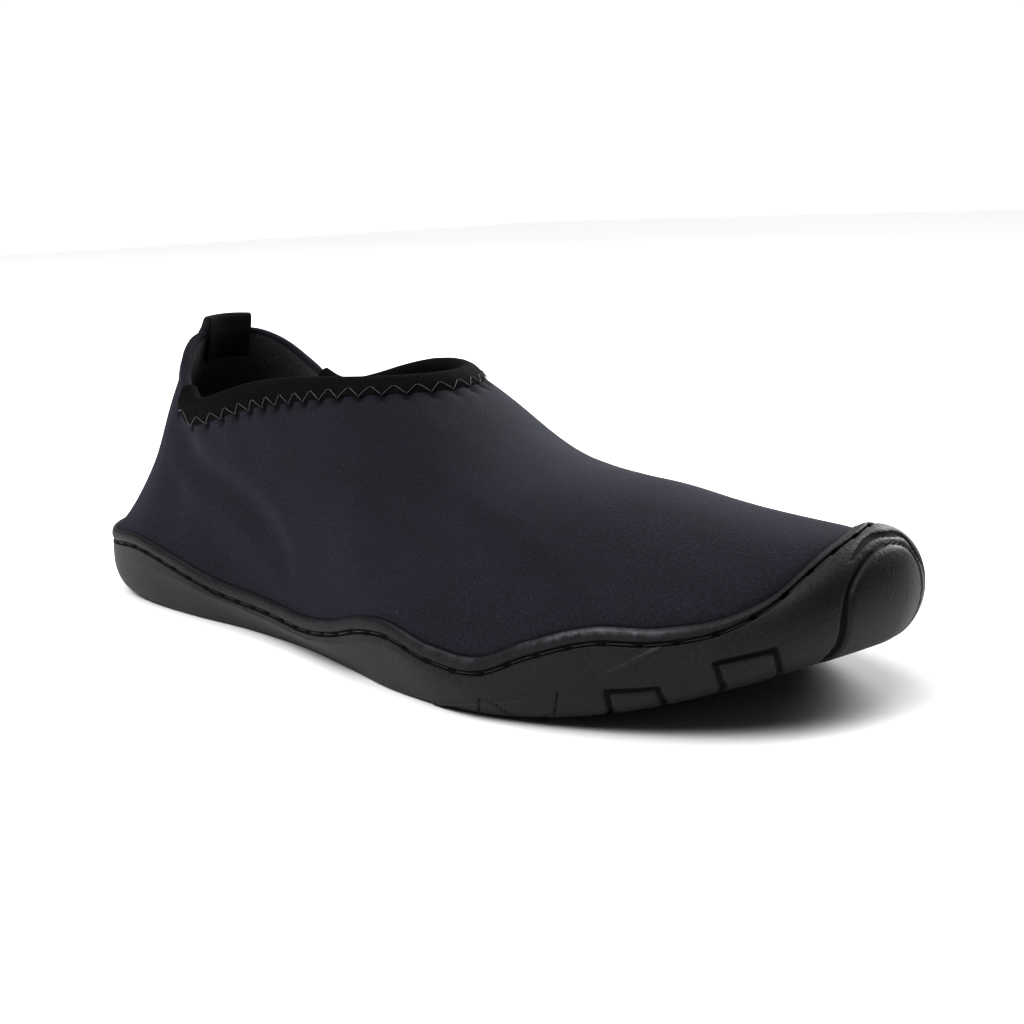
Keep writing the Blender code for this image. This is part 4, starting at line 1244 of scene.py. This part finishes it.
band_uv = np.stack(np.broadcast_arrays(at[None, :], np.arange(count)[:, None] * 0.9 * MM), -1)
band_faces = tape_faces(count, BAND_COLUMNS)
make_mesh("collar_binding", band_grid, band_faces, binding_tape, "binding", "collar_band", uv=band_uv)

# %% [markdown]
# ### Thread
#
# A thread is a thin tube drawn along a line, with pinched ends where it goes down into the cloth. Pale
# thread holds the binding, and dark thread lies in the groove of the cup.

# %% Thread
def thread_material(name, colour):
    material, tree, shader = new_material(name, colour, 0.6, Sheen_Weight=0.3)
    at_place = node(tree, "ShaderNodeTexCoord").outputs["Object"]
    twist = noise(tree, at_place, 3000.0)
    wire(tree, (bump(tree, twist.outputs["Fac"], 0.3, 0.0001), shader.inputs["Normal"]))
    return material


pale_thread = thread_material("thread_pale", (0.056, 0.057, 0.062))
dark_thread = thread_material("thread_dark", (0.010, 0.0102, 0.0115))


def tube(points, normals, radius, sides=6):
    """Points and faces of a thread that follows a line and is thin at both ends."""
    ahead = unit(np.gradient(points, axis=0))
    side = unit(np.cross(ahead, normals))
    out = np.cross(side, ahead)
    sizes = np.full(len(points), radius)
    sizes[[0, -1]] *= 0.35
    a = np.linspace(0, TURN, sides, endpoint=False)
    rings = points[:, None] + sizes[:, None, None] * (
        np.cos(a)[None, :, None] * side[:, None] + np.sin(a)[None, :, None] * out[:, None]
    )
    faces = skin(len(points), sides).tolist()
    faces.append(list(range(sides))[::-1])
    faces.append([(len(points) - 1) * sides + k for k in range(sides)])
    return rings.reshape(-1, 3), faces


def gather(pieces):
    """Joins the points and faces of many threads."""
    points, faces, start = [], [], 0
    for piece_points, piece_faces in pieces:
        points.append(piece_points)
        faces += [[v + start for v in face] for face in piece_faces]
        start += len(piece_points)
    return np.concatenate(points), faces


# %% [markdown]
# ### The zigzag
#
# A zigzag lets the tape stretch with the cloth. Each leg is one straight thread lying on the tape, from a
# row above the tape's lower edge to a row just below it, and the legs are longer near the ankles.

# %% Zigzag stitches
PITCH = 3.1 * MM
TOP_ROW, LOW_ROW = 5.6, 10.9
ends_apart = np.minimum(at, run[-1] - at) / run[-1]
leg = PITCH * (1.6 - 0.75 * step(ends_apart, 0.05, 0.32))
legs = np.concatenate(([0], np.cumsum(np.diff(at) / leg[1:])))
stops = int(legs[-1])
columns = np.interp(np.linspace(0.25, legs[-1] - 0.25, stops + 1), legs, np.arange(BAND_COLUMNS))


def on_band(column, row):
    """A point on the tape or the cloth below it, at any column and any row down from the edge."""
    c = int(np.clip(np.floor(column), 0, BAND_COLUMNS - 2))
    r = int(np.clip(np.floor(row), 0, STEPS + BELOW - 1))
    fc, fr = column - c, row - r
    low = spots[c, r] * (1 - fc) + spots[c + 1, r] * fc
    high = spots[c, r + 1] * (1 - fc) + spots[c + 1, r + 1] * fc
    if row < STEPS:
        lift = float(np.interp(STEPS - row, np.arange(STEPS + 1), outer_lift))
    else:
        lift = float(np.interp(row, [STEPS, STEPS + BELOW], [outer_lift[0], 0]))
    return low * (1 - fr) + high * fr + norms[c, r] * (lift + 0.12 * MM), norms[c, r]


threads = []
holes = []
for k in range(stops):
    ends = (TOP_ROW, LOW_ROW) if k % 2 else (LOW_ROW, TOP_ROW)
    first, first_normal = on_band(columns[k], ends[0])
    second, second_normal = on_band(columns[k + 1], ends[1])
    t = np.linspace(0, 1, 9)[:, None]
    normals = first_normal * (1 - t) + second_normal * t
    bow = 0.22 * MM - 0.40 * MM * np.abs(2 * t - 1) ** 6
    line = first * (1 - t) + second * t + normals * bow
    threads.append(tube(line, normals, 0.115 * MM))
    holes.append(line[0] if ends[0] == LOW_ROW else line[-1])
make_mesh("binding_zigzag", *gather(threads), pale_thread, "binding")

# %% [markdown]
# ### The cloth gives way
#
# Where the zigzag dips below the tape it pulls the soft cloth in. The points round each of these places
# sink a little, and how far is stored for the knit, which paints shade there as a darker colour.

# %% Pull the cloth in at the stitches
# the middle of each dent lies a little ahead of the hole and below it
DENT_OFFSET = (0.4 * MM, 0.0, -0.4 * MM)
DENT_RADIUS = 1.5
DENT_DEPTH = 0.75
low_holes = np.array(holes[::2])
coords = np.empty(len(upper.data.vertices) * 3)
upper.data.vertices.foreach_get("co", coords)
coords = coords.reshape(-1, 3)
outwards = np.empty(len(upper.data.vertices) * 3)
upper.data.vertices.foreach_get("normal", outwards)
outwards = outwards.reshape(-1, 3)
dent_and_painted_shade = np.zeros(len(coords))
for hole in low_holes:
    away = np.linalg.norm(coords - hole - DENT_OFFSET, axis=1) / MM
    dent_and_painted_shade = np.maximum(dent_and_painted_shade, np.exp(-((away / DENT_RADIUS) ** 2)))
upper.data.vertices.foreach_set("co", (coords - outwards * (dent_and_painted_shade * DENT_DEPTH * MM)[:, None]).ravel())
# the dent's depth is also the painted shade by which the knit is darkened
layer = upper.data.attributes.new("dent_and_painted_shade", "FLOAT", "POINT")
layer.data.foreach_set("value", dent_and_painted_shade.astype(np.float32))
print("stitch holes:", len(low_holes))

# %% [markdown]
# ### Stitches in the groove of the cup
#
# The cup is sewn to the upper through the groove, which keeps the thread off the ground. It is a lock
# stitch: even dashes lying in the bottom of the groove.

# %% Groove stitches
threads = []
for k in range(stitch_count):
    span = (k + np.linspace(0.08, 0.92, 9)) * groove_run[-1] / stitch_count
    line = sample(groove_line, groove_run, span)
    normals = sample(groove_out, groove_run, span)
    dip = 0.5 * MM * np.abs(np.linspace(-1, 1, 9)) ** 6
    threads.append(tube(line - normals * dip[:, None], normals, 0.15 * MM))
make_mesh("groove_stitches", *gather(threads), dark_thread, "rubber")

# %% [markdown]
# ## The pull tab at the heel
#
# A short piece of woven tape is folded over the top of the heel and sewn down on both sides, to pull the
# shoe on with. Above the collar its two layers lie against each other, and the fold stays a little round.

# %% Heel tab
TAB_WIDTH = 0.0160
TAB_OVERLAP = 0.0070
TAB_THICKNESS = 0.0013
TAB_COLUMNS = 33
TAB_STEPS = 6
# the folded end of the tab, from outside to inside: millimetres outwards and upwards
TAB_FOLD = (
    (1.45, 1.0), (0.75, 2.6), (0.45, 4.6), (-0.1, 5.8), (-1.1, 6.25), (-2.1, 5.8), (-2.65, 4.6),
    (-2.95, 2.6), (-3.6, 1.0),
)  # fmt: skip
back_thetas = np.linspace(-0.9, 0.9, 1201)
back_line = collar_edge(back_thetas)
back_run = walked(back_line)
middle_run = np.interp(0, back_thetas, back_run)
tab_at = middle_run + np.linspace(-TAB_WIDTH / 2, TAB_WIDTH / 2, TAB_COLUMNS)
tab_edge = sample(back_line, back_run, tab_at)
tab_spots, tab_norms = cloth_paths(tab_edge, TAB_OVERLAP, TAB_STEPS)
tab_norms = unit(tab_norms.mean(axis=0, keepdims=True) * 0.5 + tab_norms * 0.5)
tab_up = tab_spots[:, 0] - tab_spots[:, 2]
tab_up = tab_up.mean(axis=0) / np.linalg.norm(tab_up.mean(axis=0))
out_now = tab_norms[:, 0]
outer_gap = 0.65 * MM + TAB_THICKNESS * 0.9
inner_gap = UPPER_WALL + TAB_THICKNESS * 0.9
rows = [tab_spots[:, TAB_STEPS] + tab_norms[:, TAB_STEPS] * 0.1 * MM]
rows += [tab_spots[:, k] + tab_norms[:, k] * outer_gap for k in range(TAB_STEPS, -1, -1)]
rows += [tab_spots[:, 0] + out_now * out * MM + tab_up * up * MM for out, up in TAB_FOLD]
rows += [tab_spots[:, k] - tab_norms[:, k] * inner_gap for k in range(TAB_STEPS + 1)]
rows.append(tab_spots[:, TAB_STEPS] - tab_norms[:, TAB_STEPS] * (UPPER_WALL + 0.1 * MM))
tab_rows = soften(np.stack(rows), 1)
count = len(tab_rows)
tab_faces = tape_faces(count, TAB_COLUMNS)
tab_uv = np.stack(np.broadcast_arrays(tab_at[None, :], np.arange(count)[:, None] * MM), -1)
make_mesh("heel_pull_tab", tab_rows, tab_faces, tab_tape, "tab", "heel_tab", uv=tab_uv)

# %% [markdown]
# ## The insole
#
# The foam insole is a plain hidden piece. Its modelled solid is good enough, so it only gets a cloth face.

# %% Insole cloth
insole_cloth, tree, shader = new_material("insole_cloth", (0.012, 0.012, 0.013), 0.9)
at_place = node(tree, "ShaderNodeTexCoord").outputs["Object"]
weave = noise(tree, at_place, 1200.0)
wire(tree, (bump(tree, weave.outputs["Fac"], 0.4, 0.0003), shader.inputs["Normal"]))
for obj in bpy.data.objects:
    if obj.type == "MESH" and obj.name.startswith("insole"):
        for slot in obj.material_slots:
            slot.material = insole_cloth
        print("insole cloth on", obj.name)

# %% [markdown]
# ## The floor
#
# A wide sheet of matt white paper. It also lights the wall of the cup from below, as a white table does.

# %% Floor
bpy.ops.mesh.primitive_plane_add(size=8, location=(0, 0, -0.0002))
floor = bpy.context.object
floor.name = "floor"
paper, tree, shader = new_material("paper_floor", (0.95, 0.95, 0.95), 0.9, Specular_IOR_Level=0.1)
floor.data.materials.append(paper)

# %% [markdown]
# ## The light
#
# Dark things are lit with large pale sources, because a black surface shows only what it mirrors. A wide
# soft sun stands for the ceiling of a light tent. A high panel on the outer side lifts the wall of the cup,
# and one on the inner side softens the shadow. The world is a bright backdrop behind the shoe in a dim room.

# %% Lights
world = bpy.data.worlds.new("studio")
world.use_nodes = True
tree = world.node_tree
every_way = node(tree, "ShaderNodeTexCoord").outputs["Generated"]
facing = node(tree, "ShaderNodeVectorMath", operation="DOT_PRODUCT")
facing.inputs[1].default_value = Vector((-0.65, 0.76, 0.05)).normalized()
direction = node(tree, "ShaderNodeSeparateXYZ")
wire(tree, (every_way, facing.inputs[0]), (every_way, direction.inputs[0]))
backdrop = soft_range(tree, facing.outputs["Value"], 0.72, 0.915, 0.0, 1.06)
room = soft_range(tree, maths(tree, "ABSOLUTE", direction.outputs["X"]), 0.1, 0.8, 0.24, 0.07)
background = tree.nodes["Background"]
wire(tree, (maths(tree, "MAXIMUM", backdrop, room), background.inputs["Strength"]))
background.inputs["Color"].default_value = (1, 1, 1, 1)
bpy.context.scene.world = world


def panel(name, location, target, width, height, power):
    """A rectangular lamp that faces a target."""
    light = bpy.data.lights.new(name, "AREA")
    light.shape = "RECTANGLE"
    light.size = width
    light.size_y = height
    light.energy = power
    obj = bpy.data.objects.new(name, light)
    obj.location = location
    obj.rotation_euler = (Vector(target) - Vector(location)).to_track_quat("-Z", "Y").to_euler()
    bpy.context.scene.collection.objects.link(obj)


panel("outer_side", (-0.34, -1.42, 1.62), (0, 0, 0), 1.3, 1.0, 33)
panel("inner_side", (-0.15, 1.95, 1.10), (0, 0, 0), 1.6, 1.0, 60)
sky = bpy.data.lights.new("overhead", "SUN")
sky.energy = 2.6
sky.angle = math.radians(70)
overhead = bpy.data.objects.new("overhead", sky)
overhead.rotation_euler = Vector((0.10, 0.30, -1.0)).to_track_quat("-Z", "Y").to_euler()
bpy.context.scene.collection.objects.link(overhead)

# %% [markdown]
# ## The camera
#
# The photo was taken from the outer side, ahead of the toe and a little above. Position, direction and the
# slight roll were solved from it. The camera is then turned towards the middle of the one shoe.

# %% Camera
yaw, pitch, roll = 2.28603, -0.11683, -0.02728
forward = Vector((math.cos(pitch) * math.cos(yaw), math.cos(pitch) * math.sin(yaw), math.sin(pitch)))
right = forward.cross(Vector((0, 0, 1))).normalized()
upward = right.cross(forward)
camera_right = right * math.cos(roll) + upward * math.sin(roll)
camera_up = -right * math.sin(roll) + upward * math.cos(roll)
FOCAL_PIXELS = 1489.7
FRAME_PIXELS = 1024
CENTRE = FRAME_PIXELS / 2
SHOE_IN_PHOTO = (366, 606)
CLOSER = 1.22
across_frame, down_frame = SHOE_IN_PHOTO[0] - CENTRE, SHOE_IN_PHOTO[1] - CENTRE
look = (forward * FOCAL_PIXELS + camera_right * across_frame - camera_up * down_frame).normalized()
side = (camera_right - look * camera_right.dot(look)).normalized()
top = side.cross(look)
eye = Vector((0.3536, -0.3032, 0.1136))
camera_data = bpy.data.cameras.new("camera")
camera_data.sensor_width = 36
camera_data.lens = 36 * FOCAL_PIXELS / FRAME_PIXELS * CLOSER
camera_data.clip_start = 0.01
print("lens, mm:", round(camera_data.lens, 1))
camera = bpy.data.objects.new("camera", camera_data)
camera.matrix_world = Matrix((side, top, -look)).transposed().to_4x4()
camera.location = eye
bpy.context.scene.collection.objects.link(camera)
bpy.context.scene.camera = camera
bpy.context.scene.view_settings.view_transform = "Standard"
bpy.context.scene.view_settings.gamma = 0.75
